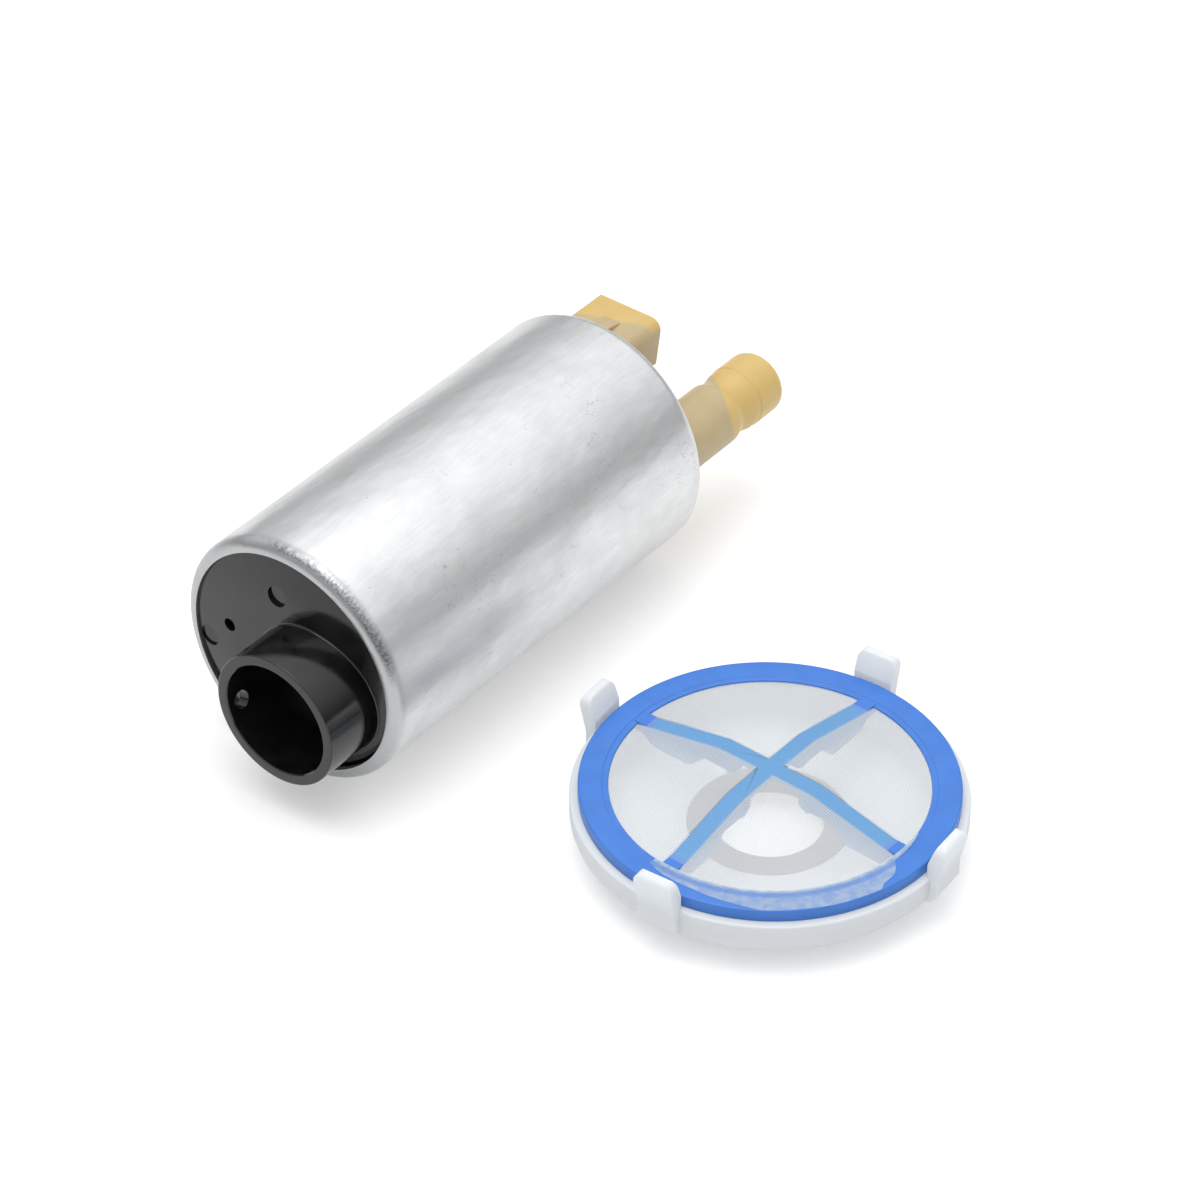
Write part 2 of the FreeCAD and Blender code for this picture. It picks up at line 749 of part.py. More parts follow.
def outlet_cover():
    """Moulded outlet cover: rim, web, brush tubes, bearing boss, nipple, plug housing, relief boss."""
    seal_floor = fitted_radius - seal_section
    rim = turned_x([
        (flux_ring_end_x, 0),
        (flux_ring_end_x, seal_floor),
        (flux_ring_end_x + seal_step_width, seal_floor),
        (flux_ring_end_x + seal_step_width, fitted_radius),
        (outlet_face_x, fitted_radius),
        (outlet_face_x, 0)])
    hollow = rod(fitted_radius - cover_wall, flux_ring_end_x - overshoot, web_inner_x)
    shell = rim.cut(hollow)
    boss_radius = bearing_radius + bearing_boss_wall
    tube_width = brush_width + 2 * guide_gap + 2 * brush_tube_wall
    tube_start_x = bars_end_x + brush_tube_from_bars
    brush_tubes = [square_bar(tube_width, tube_start_x, web_inner_x + overlap, side * brush_y,
                              side * brush_z, brush_angle) for side in (-1, 1)]
    bearing_boss = rod(boss_radius, rear_bearing_x, web_inner_x + overlap)
    relief_boss = rod(relief_boss_radius, web_inner_x, outlet_face_x + relief_boss_reach,
                      relief_y, relief_z)
    solid = joined([shell, bearing_boss, relief_boss, nipple_solid(), plug_housing_solid()] + brush_tubes)

    brush_bores = [square_bar(brush_width + 2 * guide_gap, tube_start_x - overshoot,
                              outlet_face_x + overshoot, side * brush_y, side * brush_z, brush_angle)
                   for side in (-1, 1)]
    bearing_seat = rod(bearing_radius + seat_gap, rear_bearing_x - overshoot,
                       rear_bearing_x + bearing_length)
    valve_bore = rod(valve_bore_radius, web_inner_x - overshoot, valve_bore_end, nipple_y, nipple_z)
    mouth = rod(nipple_mouth_radius, valve_bore_end - overshoot, nipple_end_x + overshoot,
                nipple_y, nipple_z)
    relief_bore = rod(relief_bore_radius, web_inner_x + relief_floor,
                      outlet_face_x + relief_boss_reach + overshoot, relief_y, relief_z)
    relief_hole = rod(relief_hole_radius, web_inner_x - overshoot, web_inner_x + relief_floor + overlap,
                      relief_y, relief_z)
    socket = block(plug_end_x - plug_socket_depth, plug_end_x + overshoot, plug_y_low + plug_wall,
                   plug_y_high - plug_wall, plug_z_low + plug_wall, plug_z_high - plug_wall)
    blade_slots = [blade_box(y, z, seat_gap) for y, z in blade_places()]
    cuts = [bearing_seat, valve_bore, mouth, relief_bore, relief_hole, socket]
    return solid.cut(cuts + brush_bores + blade_slots)


def check_valve_seat():
    """Ring pressed into the nipple's bore, with a coned seat."""
    outer = valve_bore_radius - seat_gap
    return turned_x([
        (valve_seat_x, valve_seat_hole),
        (valve_seat_end_x - valve_seat_cone, valve_seat_hole),
        (valve_seat_end_x, valve_seat_hole + valve_seat_cone),
        (valve_seat_end_x, outer),
        (valve_seat_x, outer)], nipple_y, nipple_z)


def check_valve_plunger():
    """Guided plunger with a coned face, closed on its seat."""
    stem_end = plunger_head_end_x + plunger_stem_length
    return turned_x([
        (plunger_x - valve_seat_cone, 0),
        (plunger_x, valve_seat_hole + valve_seat_cone - valve_closed_gap),
        (plunger_x, plunger_head_radius),
        (plunger_head_end_x, plunger_head_radius),
        (plunger_head_end_x, plunger_stem_radius),
        (stem_end, plunger_stem_radius),
        (stem_end, 0)], nipple_y, nipple_z)


def check_valve_spring():
    """Spring round the plunger's stem, between its head and the bore's shoulder."""
    start_x = plunger_head_end_x + guide_gap
    return coil_spring(valve_bore_radius - valve_spring_wire / 2 - guide_gap, valve_spring_wire,
                       valve_bore_end - guide_gap - start_x, valve_spring_turns, start_x,
                       nipple_y, nipple_z)


def relief_valve_ball():
    """Steel ball closed on the relief hole's edge."""
    zones = 2 * round_bevels
    points = []
    for step in range(zones + 1):
        turn = math.pi * (1 - step / zones)
        across = relief_ball_radius * math.sin(turn) if 0 < step < zones else 0.0
        points.append((relief_ball_x + relief_ball_radius * math.cos(turn), across))
    return turned_x(points, relief_y, relief_z)


def relief_cap_x():
    """Inner face of the relief valve's cap."""
    return outlet_face_x + relief_boss_reach - relief_cap_thickness


def relief_valve_cap():
    """Pierced disc pressed into the relief boss."""
    return sleeve(relief_bore_radius - seat_gap, relief_cap_hole, relief_cap_x(),
                  outlet_face_x + relief_boss_reach, relief_y, relief_z)


def relief_valve_spring():
    """Spring between the ball and the cap, seated round the ball's crown."""
    contact = math.sqrt(relief_ball_radius ** 2 - relief_spring_radius ** 2)
    start_x = relief_ball_x + contact + relief_spring_gap
    return coil_spring(relief_spring_radius, relief_spring_wire, relief_cap_x() - guide_gap - start_x,
                       relief_spring_turns, start_x, relief_y, relief_z)


def choke(angle):
    """Interference choke: a wound sleeve on a ferrite pin, standing on the cover's web."""
    turn = math.radians(angle)
    y = choke_circle * math.cos(turn)
    z = choke_circle * math.sin(turn)
    pin = block(web_inner_x - choke_length - 2 * choke_core_overhang, web_inner_x,
                y - choke_core_radius / 2, y + choke_core_radius / 2,
                z - choke_core_radius / 2, z + choke_core_radius / 2)
    winding = rod(choke_radius, web_inner_x - choke_length - choke_core_overhang,
                  web_inner_x - choke_core_overhang, y, z)
    return joined([pin, winding])


def put_strainer(shape, turn):
    """A strainer piece turned about its axis and laid beside the pump on the same floor."""
    shape.rotate(Vector(0, 0, 0), Vector(0, 0, 1), turn)
    shape.translate(Vector(strainer_x, strainer_y, -casing_radius))
    return shape


def hook():
    """One snap hook on the dish's wall, along +X: it leans out above the ring to a bevelled head."""
    top = ring_top_z + hook_above_ring
    foot = collar_reach + hook_foot_height
    outer = dish_radius + hook_bulge
    head_outer = outer + hook_lean
    head_inner = head_outer - hook_head_thickness
    steps = [
        (dish_radius - hook_bulge, foot),
        (dish_radius - hook_bulge, ring_base_z - seat_gap),
        (hook_inner_radius, ring_base_z),
        (hook_inner_radius, ring_top_z + hook_upright_height),
        (head_inner, top - hook_head_bevel),
        (head_inner + hook_head_bevel, top),
        (head_outer - hook_head_bevel, top),
        (head_outer, top - hook_head_bevel),
        (outer, ring_base_z),
        (outer, foot + hook_bulge),
        (dish_radius, foot)]
    wire = outline(steps, lambda p: Vector(p[0], -hook_width / 2, p[1]))
    blank = Part.Face(wire).extrude(Vector(0, hook_width, 0))
    half = hook_width / 2
    front_view = [
        (-half, foot - overshoot),
        (half, foot - overshoot),
        *rounded((half - hook_corner_round, top - hook_corner_round), hook_corner_round, 0, 90),
        *rounded((hook_corner_round - half, top - hook_corner_round), hook_corner_round, 90, 180)]
    front_wire = outline(front_view, lambda p: Vector(0, p[0], p[1]))
    return blank.common(Part.Face(front_wire).extrude(Vector(2 * dish_radius, 0, 0)))


def strainer_dish():
    """Translucent dish: floor, rounded wall, ledge for the ring, collar and hooks."""
    inner_round = dish_bottom_round - dish_wall
    round_centre = (dish_radius - dish_bottom_round, collar_reach + dish_bottom_round)
    inner_wall = dish_radius - dish_wall
    ledge_base = ring_base_z - dish_ledge_thickness
    inner_bevel = inner_round / 2
    shell = turned_z([
        (collar_bore_radius, 0),
        (collar_radius, 0),
        (collar_radius, collar_reach),
        *rounded(round_centre, dish_bottom_round, -90, 0),
        (dish_radius, ring_base_z),
        (dish_ledge_radius, ring_base_z),
        (inner_wall, ledge_base),
        (inner_wall, round_centre[1] - inner_round + inner_bevel),
        (round_centre[0] + inner_round - inner_bevel, dish_floor_z),
        (seal_outer_radius + seat_gap, dish_floor_z),
        (seal_outer_radius + seat_gap, seal_seat_height),
        (collar_bore_radius, seal_seat_height)])
    hooks = turned_copies(hook(), hook_count, Vector(0, 0, 1))
    return put_strainer(joined([shell] + hooks), dish_turn)


def strainer_seal():
    """Sealing ring in the dish's collar."""
    seal = turned_z([
        (seal_inner_radius, seal_seat_height),
        (seal_outer_radius, seal_seat_height),
        (seal_outer_radius, dish_floor_z),
        (seal_inner_radius, dish_floor_z)])
    return put_strainer(seal, dish_turn)


def arm_top(radius):
    """Height of an arm's top, under the cloth, at a distance from the centre."""
    run = ring_inner_radius - plateau_radius
    outside = max(0.0, radius - plateau_radius)
    return mesh_base_z + arm_rise * (1 - outside / run)


def arm():
    """One arm of the cross along +X: a flat strip with a stepped rib beneath it."""
    def strip_side(width, steps):
        wire = outline(steps, lambda p: Vector(p[0], -width / 2, p[1]))
        return Part.Face(wire).extrude(Vector(0, width, 0))

    end = ring_inner_radius + overlap
    ledge = ring_inner_radius
    strip = strip_side(arm_width, [
        (0, arm_top(0)),
        (plateau_radius, arm_top(0)),
        (ledge, arm_top(ledge)),
        (end, arm_top(ledge)),
        (end, arm_top(ledge) - arm_thickness),
        (ledge, arm_top(ledge) - arm_thickness),
        (plateau_radius, arm_top(0) - arm_thickness),
        (0, arm_top(0) - arm_thickness)])
    rib_root = ledge - seat_gap
    middle = arm_thickness / 2
    foot_z = dish_floor_z + rib_above_floor
    notch_z = foot_z + rib_notch_rise
    rib = strip_side(rib_width, [
        (rib_end_radius, arm_top(rib_end_radius) - middle),
        (plateau_radius, arm_top(plateau_radius) - middle),
        (rib_root, arm_top(rib_root) - middle),
        (rib_root, ring_base_z),
        (rib_foot_outer_radius, foot_z),
        (rib_foot_inner_radius, foot_z),
        (rib_notch_radius, notch_z),
        (rib_lobe_radius + rib_lobe_drop, notch_z),
        (rib_lobe_radius, notch_z - rib_lobe_drop),
        (rib_end_radius, notch_z + rib_lobe_drop)])
    tab = block(ring_inner_radius - arm_tab_length, end, -arm_width / 2, arm_width / 2,
                mesh_base_z - arm_thickness, ring_top_z)
    return joined([strip, rib, tab])


def strainer_frame():
    """Ring with a raised cross that the cloth is stretched over."""
    ring = turned_z([
        (ring_inner_radius, ring_top_z - ring_inner_edge),
        (ring_inner_radius + ring_inner_bevel, ring_base_z),
        (ring_outer_radius, ring_base_z),
        (ring_outer_radius, ring_top_z - ring_bevel),
        (ring_outer_radius - ring_bevel, ring_top_z),
        (ring_inner_radius, ring_top_z)])
    arms = turned_copies(arm(), 4, Vector(0, 0, 1))
    return put_strainer(joined([ring] + arms), dish_turn + frame_turn)


def tent_corners(reach, z):
    """Eight corners of the stretched cloth at one height, two at each arm."""
    half = arm_width / 2
    corners = []
    for index in range(4):
        turn = math.radians(90 * index)
        for side in (-half, half):
            corners.append(Vector(reach * math.cos(turn) - side * math.sin(turn),
                                  reach * math.sin(turn) + side * math.cos(turn), z))
    return corners


def tent(lift):
    """Flat-sided hump under the cloth: it rises from the ring, over the arms, to the plateau."""
    foot = ring_inner_radius + tent_skirt * (ring_inner_radius - plateau_radius) / arm_rise
    low = tent_corners(foot, mesh_base_z - tent_skirt + lift)
    high = tent_corners(plateau_radius, mesh_base_z + arm_rise + lift)
    count = len(low)
    faces = [Part.Face(Part.makePolygon(loop + [loop[0]])) for loop in (low, high)]
    for index in range(count):
        after = (index + 1) % count
        loop = [low[index], low[after], high[after], high[index], low[index]]
        faces.append(Part.Face(Part.makePolygon(loop)))
    return Part.Solid(Part.Shell(faces))


def strainer_mesh():
    """Filter cloth as one thin sheet, stretched over the cross, overlapping the ring at the front."""
    reach = ring_inner_radius - seat_gap
    base = Vector(0, 0, mesh_base_z)
    rim = Part.makeCylinder(reach, mesh_thickness, base)
    above = Part.makeCylinder(reach, arm_rise + overshoot, base)
    sheet = joined([rim, tent(mesh_thickness).common(above)]).cut(tent(0))
    top = ring_top_z + mesh_overlap_gap
    tab_reach = ring_inner_radius - arm_tab_length - seat_gap
    tab_half = arm_width / 2 + seat_gap
    tab_space = block(tab_reach, ring_outer_radius, -tab_half, tab_half, mesh_base_z - overshoot, top)
    sheet = sheet.cut(turned_copies(tab_space, 4, Vector(0, 0, 1)))
    lap_steps = [
        (reach - mesh_thickness, mesh_base_z + seat_gap),
        (reach, mesh_base_z + seat_gap),
        (reach, top),
        (mesh_overlap_radius, top),
        (mesh_overlap_radius, top + mesh_thickness),
        (reach - mesh_thickness, top + mesh_thickness)]
    wire = outline(lap_steps, lambda p: Vector(p[0], 0, p[1]))
    lap = Part.Face(wire).revolve(Vector(0, 0, 0), Vector(0, 0, 1), mesh_overlap_sweep)
    start = mesh_overlap_centre - mesh_overlap_sweep / 2 - dish_turn - frame_turn
    lap.rotate(Vector(0, 0, 0), Vector(0, 0, 1), start)
    lap = lap.cut(turned_copies(tab_space, 4, Vector(0, 0, 1)))
    return put_strainer(joined([sheet] + lap.Solids), dish_turn + frame_turn)


def all_pieces():
    """Every piece by its node's name."""
    positive, negative = blade_places()
    return {
        "casing_tube": casing_tube(),
        "inlet_cover": inlet_cover(),
        "thrust_pad": thrust_pad(),
        "chamber_housing": chamber_housing(),
        "front_bearing": bearing(front_bearing_x),
        "impeller": impeller(),
        "rotor_shaft": rotor_shaft(),
        "flux_ring": flux_ring(),
        "magnet_a": magnet(90),
        "magnet_b": magnet(270),
        "magnet_clip_a": magnet_clip(0),
        "magnet_clip_b": magnet_clip(180),
        "armature_core": lamination(core_x, core_end_x),
        "armature_windings": armature_windings(),
        "commutator_hub": commutator_hub(),
        "commutator_bars": commutator_bars(),
        "brush_a": brush(1),
        "brush_b": brush(-1),
        "brush_spring_a": brush_spring(1),
        "brush_spring_b": brush_spring(-1),
        "brush_cap_a": brush_cap(1),
        "brush_cap_b": brush_cap(-1),
        "choke_a": choke(choke_angles[0]),
        "choke_b": choke(choke_angles[1]),
        "outlet_cover": outlet_cover(),
        "outlet_o_ring": seal_ring(),
        "rear_bearing": bearing(rear_bearing_x),
        "terminal_positive": terminal(*positive),
        "terminal_negative": terminal(*negative),
        "check_valve_seat": check_valve_seat(),
        "check_valve_plunger": check_valve_plunger(),
        "check_valve_spring": check_valve_spring(),
        "relief_valve_ball": relief_valve_ball(),
        "relief_valve_spring": relief_valve_spring(),
        "relief_valve_cap": relief_valve_cap(),
        "strainer_dish": strainer_dish(),
        "strainer_seal": strainer_seal(),
        "strainer_frame": strainer_frame(),
        "strainer_mesh": strainer_mesh(),
    }


def main():
    os.makedirs("parts", exist_ok=True)
    for name, shape in all_pieces().items():
        shape.exportStep("parts/" + name + ".step")
        print(name, "solids", len(shape.Solids), "valid", shape.isValid(),
              "volume", round(shape.Volume, 2))


main()
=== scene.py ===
"""Looks of the in-tank fuel pump, and of the strainer lying beside it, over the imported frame.

Named lengths are in millimetres and become metres when a mesh is made. X is the pump's axis,
from the inlet end to the outlet end, and Z is up.
"""
import math

import bmesh
import bpy
import numpy as np
from mathutils import Matrix, Vector


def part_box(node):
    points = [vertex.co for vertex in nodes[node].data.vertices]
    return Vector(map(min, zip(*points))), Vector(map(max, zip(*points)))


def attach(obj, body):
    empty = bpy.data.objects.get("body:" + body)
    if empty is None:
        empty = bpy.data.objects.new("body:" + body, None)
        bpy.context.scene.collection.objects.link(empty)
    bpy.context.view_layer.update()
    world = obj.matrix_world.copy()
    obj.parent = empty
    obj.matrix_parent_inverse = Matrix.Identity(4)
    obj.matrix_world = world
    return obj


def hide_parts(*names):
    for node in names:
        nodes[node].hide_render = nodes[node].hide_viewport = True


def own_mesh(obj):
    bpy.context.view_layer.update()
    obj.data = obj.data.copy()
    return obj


MM = 0.001
# How far a cutting or rooted shape reaches past the surface that it meets
overshoot = 1.0
weld_distance = 0.0005
crisp_angle = math.radians(32)

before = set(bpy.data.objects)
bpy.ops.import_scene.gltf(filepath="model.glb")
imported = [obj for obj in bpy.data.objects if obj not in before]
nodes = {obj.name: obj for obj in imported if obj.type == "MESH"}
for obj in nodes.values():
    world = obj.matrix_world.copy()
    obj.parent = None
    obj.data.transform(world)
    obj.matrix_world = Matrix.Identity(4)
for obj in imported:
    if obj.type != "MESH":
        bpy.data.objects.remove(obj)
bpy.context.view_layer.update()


def box_mm(node):
    """Lowest and highest corner of a CAD node, in millimetres."""
    low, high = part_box(node)
    return low / MM, high / MM


# Casing, from its node
casing_low, casing_high = box_mm("casing_tube")
casing_radius = casing_high.z
inlet_rim_x = casing_low.x
outlet_rim_x = casing_high.x
casing_wall = 1.0
roll_radius = 1.8
lip_reach = 1.95
lip_edge_round = 0.12
seat_gap = 0.03
lip_radius = casing_radius - lip_reach
fitted_radius = casing_radius - casing_wall - seat_gap
floor_z = casing_low.z

# Inlet cover, from its node and the tube that stands off its face
cover_low, cover_high = box_mm("inlet_cover")
tube_mouth_x = cover_low.x
cover_inner_x = cover_high.x
tube_y = -4.4
tube_z = -2.6
tube_radius = 10.2
tube_bore_radius = 8.55
tube_mouth_round = 0.18
bore_chamfer = 0.15
tube_floor_wall = 4.3
tube_floor_x = cover_inner_x - tube_floor_wall
land_x = inlet_rim_x + casing_wall
cover_step = 1.0
face_x = inlet_rim_x
face_flat_radius = 9.5
face_fall_near = 0.45
face_fall_far = 1.8
face_fall_power = 1.4
tube_foot_round = 0.3
side_hole_radius = 1.35
side_hole_from_mouth = 2.6
side_hole_angle = -14.0
vent_y = 10.8
vent_z = 1.3
vent_radius = 1.0
vent_depth = 3.0
ejector_radius = 1.6
ejector_depth = 0.25
ejector_places = ((1.8, 10.5), (14.9, -2.7))

# Outlet cover, from its node, with its nipple, plug housing, relief boss and brush tubes
outlet_low, outlet_high = box_mm("outlet_cover")
nipple_end_x = outlet_high.x
outlet_face_x = outlet_rim_x - casing_wall
web_thickness = 3.0
web_x = outlet_face_x - web_thickness
rim_wall = 3.2
seal_step_depth = 1.5
seal_step_length = 1.8
nipple_y = -10.1
nipple_z = -1.2
nipple_radius = 4.85
nipple_neck_radius = 4.35
nipple_head_radius = 4.9
nipple_seam = 0.12
# Stations along the nipple, from the casing's outlet rim
nipple_stem_end = 14.0
nipple_neck_start = 15.4
nipple_neck_end = 16.2
nipple_shoulder = 18.0
nipple_seam_start = 19.3
nipple_seam_end = 19.45
nipple_mouth_radius = 2.4
valve_bore_radius = 3.2
nipple_mouth_length = 5.1
valve_bore_end_x = nipple_end_x - nipple_mouth_length
plug_reach = 12.6
plug_end_x = outlet_rim_x + plug_reach
plug_low = (-1.4, 4.3)
plug_high = (9.9, 12.5)
plug_wall = 1.2
plug_lean = 0.8
plug_socket_depth = 10.4
plug_edge_round = 0.5
plug_corner_round = 1.7
plug_corner_height = 1.8
ramp_from_end = 4.2
ramp_length = 3.2
ramp_width = 3.0
ramp_root = 0.8
ramp_low = 0.25
ramp_high = 0.88
relief_y = 9.8
relief_z = -6.9
relief_boss_radius = 3.3
relief_boss_height = 3.0
relief_bore_radius = 2.0
# Bearing boss and seat, from the cover's inner end
bearing_boss_radius = 5.4
bearing_boss_start = 3.7
bearing_seat_radius = 4.03
bearing_seat_end = 9.7
cap_bore_half = 2.08
cap_turn = 125

# Strainer, from its nodes. Heights are from the floor, turns are about its own axis.
seal_low, seal_high = box_mm("strainer_seal")
dish_low = box_mm("strainer_dish")[0]
strainer_axis = Vector(((seal_low.x + seal_high.x) / 2, (seal_low.y + seal_high.y) / 2, dish_low.z))
dish_turn = 4.0
frame_turn = -5.0
collar_reach = 2.5
collar_bore_radius = 10.3
collar_radius = 12.3
dish_radius = 27.2
dish_wall = 1.3
dish_bottom_round = 4.0
seal_seat_radius = 11.23
seal_outer_radius = 11.2
seal_inner_radius = 7.5
seal_base_z = 2.2
ring_lift = 6.15
ring_thickness = 1.85
ring_base_z = collar_reach + ring_lift
ring_top_z = ring_base_z + ring_thickness
ring_outer_radius = 26.03
ring_inner_radius = 21.9
ring_gap = 0.03
ring_band_width = 0.8
ring_band_step = 0.1
hook_half_width = 2.95
hook_rise = 3.7
hook_clearance = 0.45
arm_width = 2.4
arm_thickness = 1.0
arm_rise = 3.2
plateau_radius = 7.8
rib_width = 1.2
rib_start = 5.2
rib_foot_height = 3.0
rib_step_height = 2.6
cloth_drop = 0.45
cloth_base_z = ring_top_z - cloth_drop
# How far out the cloth lies over the ring's top, by the turn about the strainer's axis
overlap_turns = (-187, -180, -171, -162, -154, -147, -144, -112,
                 -108.5, -107.5, -101.5, -99.3, -97, -90, -82, -78)
overlap_reach = (23.2, 23.8, 24.1, 24.7, 25.1, 25.8, 25.9, 25.9,
                 25.8, 25.1, 24.5, 23.8, 22.7, 22.6, 22.3, 21.95)


def spot(colour):
    """Linear colour from an sRGB hex value such as "b0b4b8"."""
    parts = [int(colour[i:i + 2], 16) / 255 for i in (0, 2, 4)]
    linear = [p / 12.92 if p <= 0.04045 else ((p + 0.055) / 1.055) ** 2.4 for p in parts]
    return (*linear, 1.0)


def add(tree, kind, inputs=None, **settings):
    """Adds a node, sets its settings, and fills or links its inputs."""
    node = tree.nodes.new(kind)
    for key, value in settings.items():
        setattr(node, key, value)
    for key, value in (inputs or {}).items():
        if isinstance(value, bpy.types.NodeSocket):
            tree.links.new(value, node.inputs[key])
        else:
            node.inputs[key].default_value = value
    return node


def new_material(name):
    """Empty material with its output, its shader, and object coordinates in millimetres."""
    material = bpy.data.materials.new(name)
    material.use_nodes = True
    tree = material.node_tree
    tree.nodes.clear()
    output = tree.nodes.new("ShaderNodeOutputMaterial")
    shader = tree.nodes.new("ShaderNodeBsdfPrincipled")
    tree.links.new(shader.outputs["BSDF"], output.inputs["Surface"])
    place = add(tree, "ShaderNodeTexCoord")
    in_mm = add(tree, "ShaderNodeVectorMath", {0: place.outputs["Object"], 1: (1000, 1000, 1000)},
                operation="MULTIPLY")
    return material, tree, shader, in_mm.outputs["Vector"]


def maths(tree, operation, *values):
    """Result of a math node on one, two or three values."""
    return add(tree, "ShaderNodeMath", dict(enumerate(values)), operation=operation).outputs[0]


def surfaced(tree, shade):
    """Makes a shader's output the material's surface."""
    output = next(node for node in tree.nodes if node.type == "OUTPUT_MATERIAL")
    tree.links.new(shade, output.inputs["Surface"])


def mixed(tree, share, first, second):
    """Colour between two by a share."""
    mix = add(tree, "ShaderNodeMix", {0: share, 6: first, 7: second}, data_type="RGBA")
    return mix.outputs[2]


def ranged(tree, value, low, high, to_low, to_high):
    """Value moved from one range to another, held inside it."""
    node = add(tree, "ShaderNodeMapRange", {"Value": value, "From Min": low, "From Max": high,
                                            "To Min": to_low, "To Max": to_high})
    return node.outputs["Result"]


def brushed_aluminium():
    """Drawn aluminium: lengthwise rubs, cloudy patches, shallow dents, scuffs, scratches, crimp marks, and
    painted shade on the rolled end.
    """
    material, tree, shader, place = new_material("aluminium_drawn")
    shader.inputs["Metallic"].default_value = 1.0
    # Rubs are eight times as long as they are wide
    rub_place = add(tree, "ShaderNodeMapping", {"Vector": place, "Scale": (0.3, 2.4, 2.4)})
    rubs = add(tree, "ShaderNodeTexNoise", {"Vector": rub_place.outputs["Vector"], "Scale": 1.0,
                                            "Detail": 3.0, "Roughness": 0.6})
    cloud = add(tree, "ShaderNodeTexNoise", {"Vector": place, "Scale": 0.16, "Detail": 4.0,
                                             "Roughness": 0.6})
    rubbed = ranged(tree, rubs.outputs["Fac"], 0.3, 0.7, 0.0, 1.0)
    tone = mixed(tree, rubbed, spot("cfd0d1"), spot("d9dadb"))
    cloudy = ranged(tree, cloud.outputs["Fac"], 0.4, 0.65, 0.0, 0.4)
    clouded = mixed(tree, cloudy, tone, spot("c3c4c6"))
    scuffed = mixed(tree, scuffs(tree, place), clouded, spot("8b8c8f"))
    marked = mixed(tree, scratches(tree, place), scuffed, spot("77787a"))
    # Painted shade: the rolled inlet end is painted darker than the drawn wall, standing in for the dimmer
    # surroundings that it mirrors
    along = add(tree, "ShaderNodeSeparateXYZ", {"Vector": place}).outputs["X"]
    painted_shade_on_roll = ranged(tree, along, inlet_rim_x + 0.6, inlet_rim_x + 2.4, 0.75, 0.0)
    rolled = mixed(tree, painted_shade_on_roll, marked, spot("a2a4a6"))
    crimped = mixed(tree, crimp_marks(tree, place), rolled, spot("6f7073"))
    tree.links.new(crimped, shader.inputs["Base Color"])
    rough = ranged(tree, cloud.outputs["Fac"], 0.3, 0.7, 0.34, 0.42)
    tree.links.new(rough, shader.inputs["Roughness"])
    bump = add(tree, "ShaderNodeBump", {"Strength": 0.3, "Distance": 0.00003,
                                        "Height": rubs.outputs["Fac"]})
    dent_place = add(tree, "ShaderNodeMapping", {"Vector": place, "Scale": (0.08, 0.16, 0.16)})
    dents = add(tree, "ShaderNodeTexNoise", {"Vector": dent_place.outputs["Vector"], "Scale": 1.0,
                                             "Detail": 2.0})
    dented = add(tree, "ShaderNodeBump", {"Strength": 0.5, "Distance": 0.0006,
                                          "Height": dents.outputs["Fac"], "Normal": bump.outputs["Normal"]})
    tree.links.new(dented.outputs["Normal"], shader.inputs["Normal"])
    return material


def scratches(tree, place):
    """Share of short dark scratches, about a millimetre long and a few millimetres apart."""
    stretched = add(tree, "ShaderNodeMapping", {"Vector": place, "Scale": (0.55, 1.5, 1.5)})
    cells = add(tree, "ShaderNodeTexVoronoi", {"Vector": stretched.outputs["Vector"], "Scale": 0.8})
    near = ranged(tree, cells.outputs["Distance"], 0.03, 0.1, 1.0, 0.0)
    chance = add(tree, "ShaderNodeSeparateColor", {"Color": cells.outputs["Color"]})
    few = maths(tree, "GREATER_THAN", chance.outputs["Red"], 0.8)
    strength = maths(tree, "MULTIPLY", chance.outputs["Green"], few)
    return maths(tree, "MULTIPLY", near, strength)


def scuffs(tree, place):
    """Share of hair-thin curved scuffs, a few millimetres long, that lie together in patches."""
    bend = add(tree, "ShaderNodeTexNoise", {"Vector": place, "Scale": 0.35, "Detail": 1.0})
    bent = add(tree, "ShaderNodeVectorMath", {0: bend.outputs["Color"], 1: (4.0, 4.0, 4.0), 2: place},
               operation="MULTIPLY_ADD")
    cells = add(tree, "ShaderNodeTexVoronoi", {"Vector": bent.outputs["Vector"], "Scale": 0.4},
                feature="DISTANCE_TO_EDGE")
    line = ranged(tree, cells.outputs["Distance"], 0.006, 0.025, 0.4, 0.0)
    pieces = add(tree, "ShaderNodeTexNoise", {"Vector": place, "Scale": 0.7, "Detail": 1.0})
    broken = ranged(tree, pieces.outputs["Fac"], 0.5, 0.56, 0.0, 1.0)
    spread = add(tree, "ShaderNodeTexNoise", {"Vector": place, "Scale": 0.09, "Detail": 1.0})
    patch = ranged(tree, spread.outputs["Fac"], 0.54, 0.62, 0.0, 1.0)
    return maths(tree, "MULTIPLY", maths(tree, "MULTIPLY", line, broken), patch)


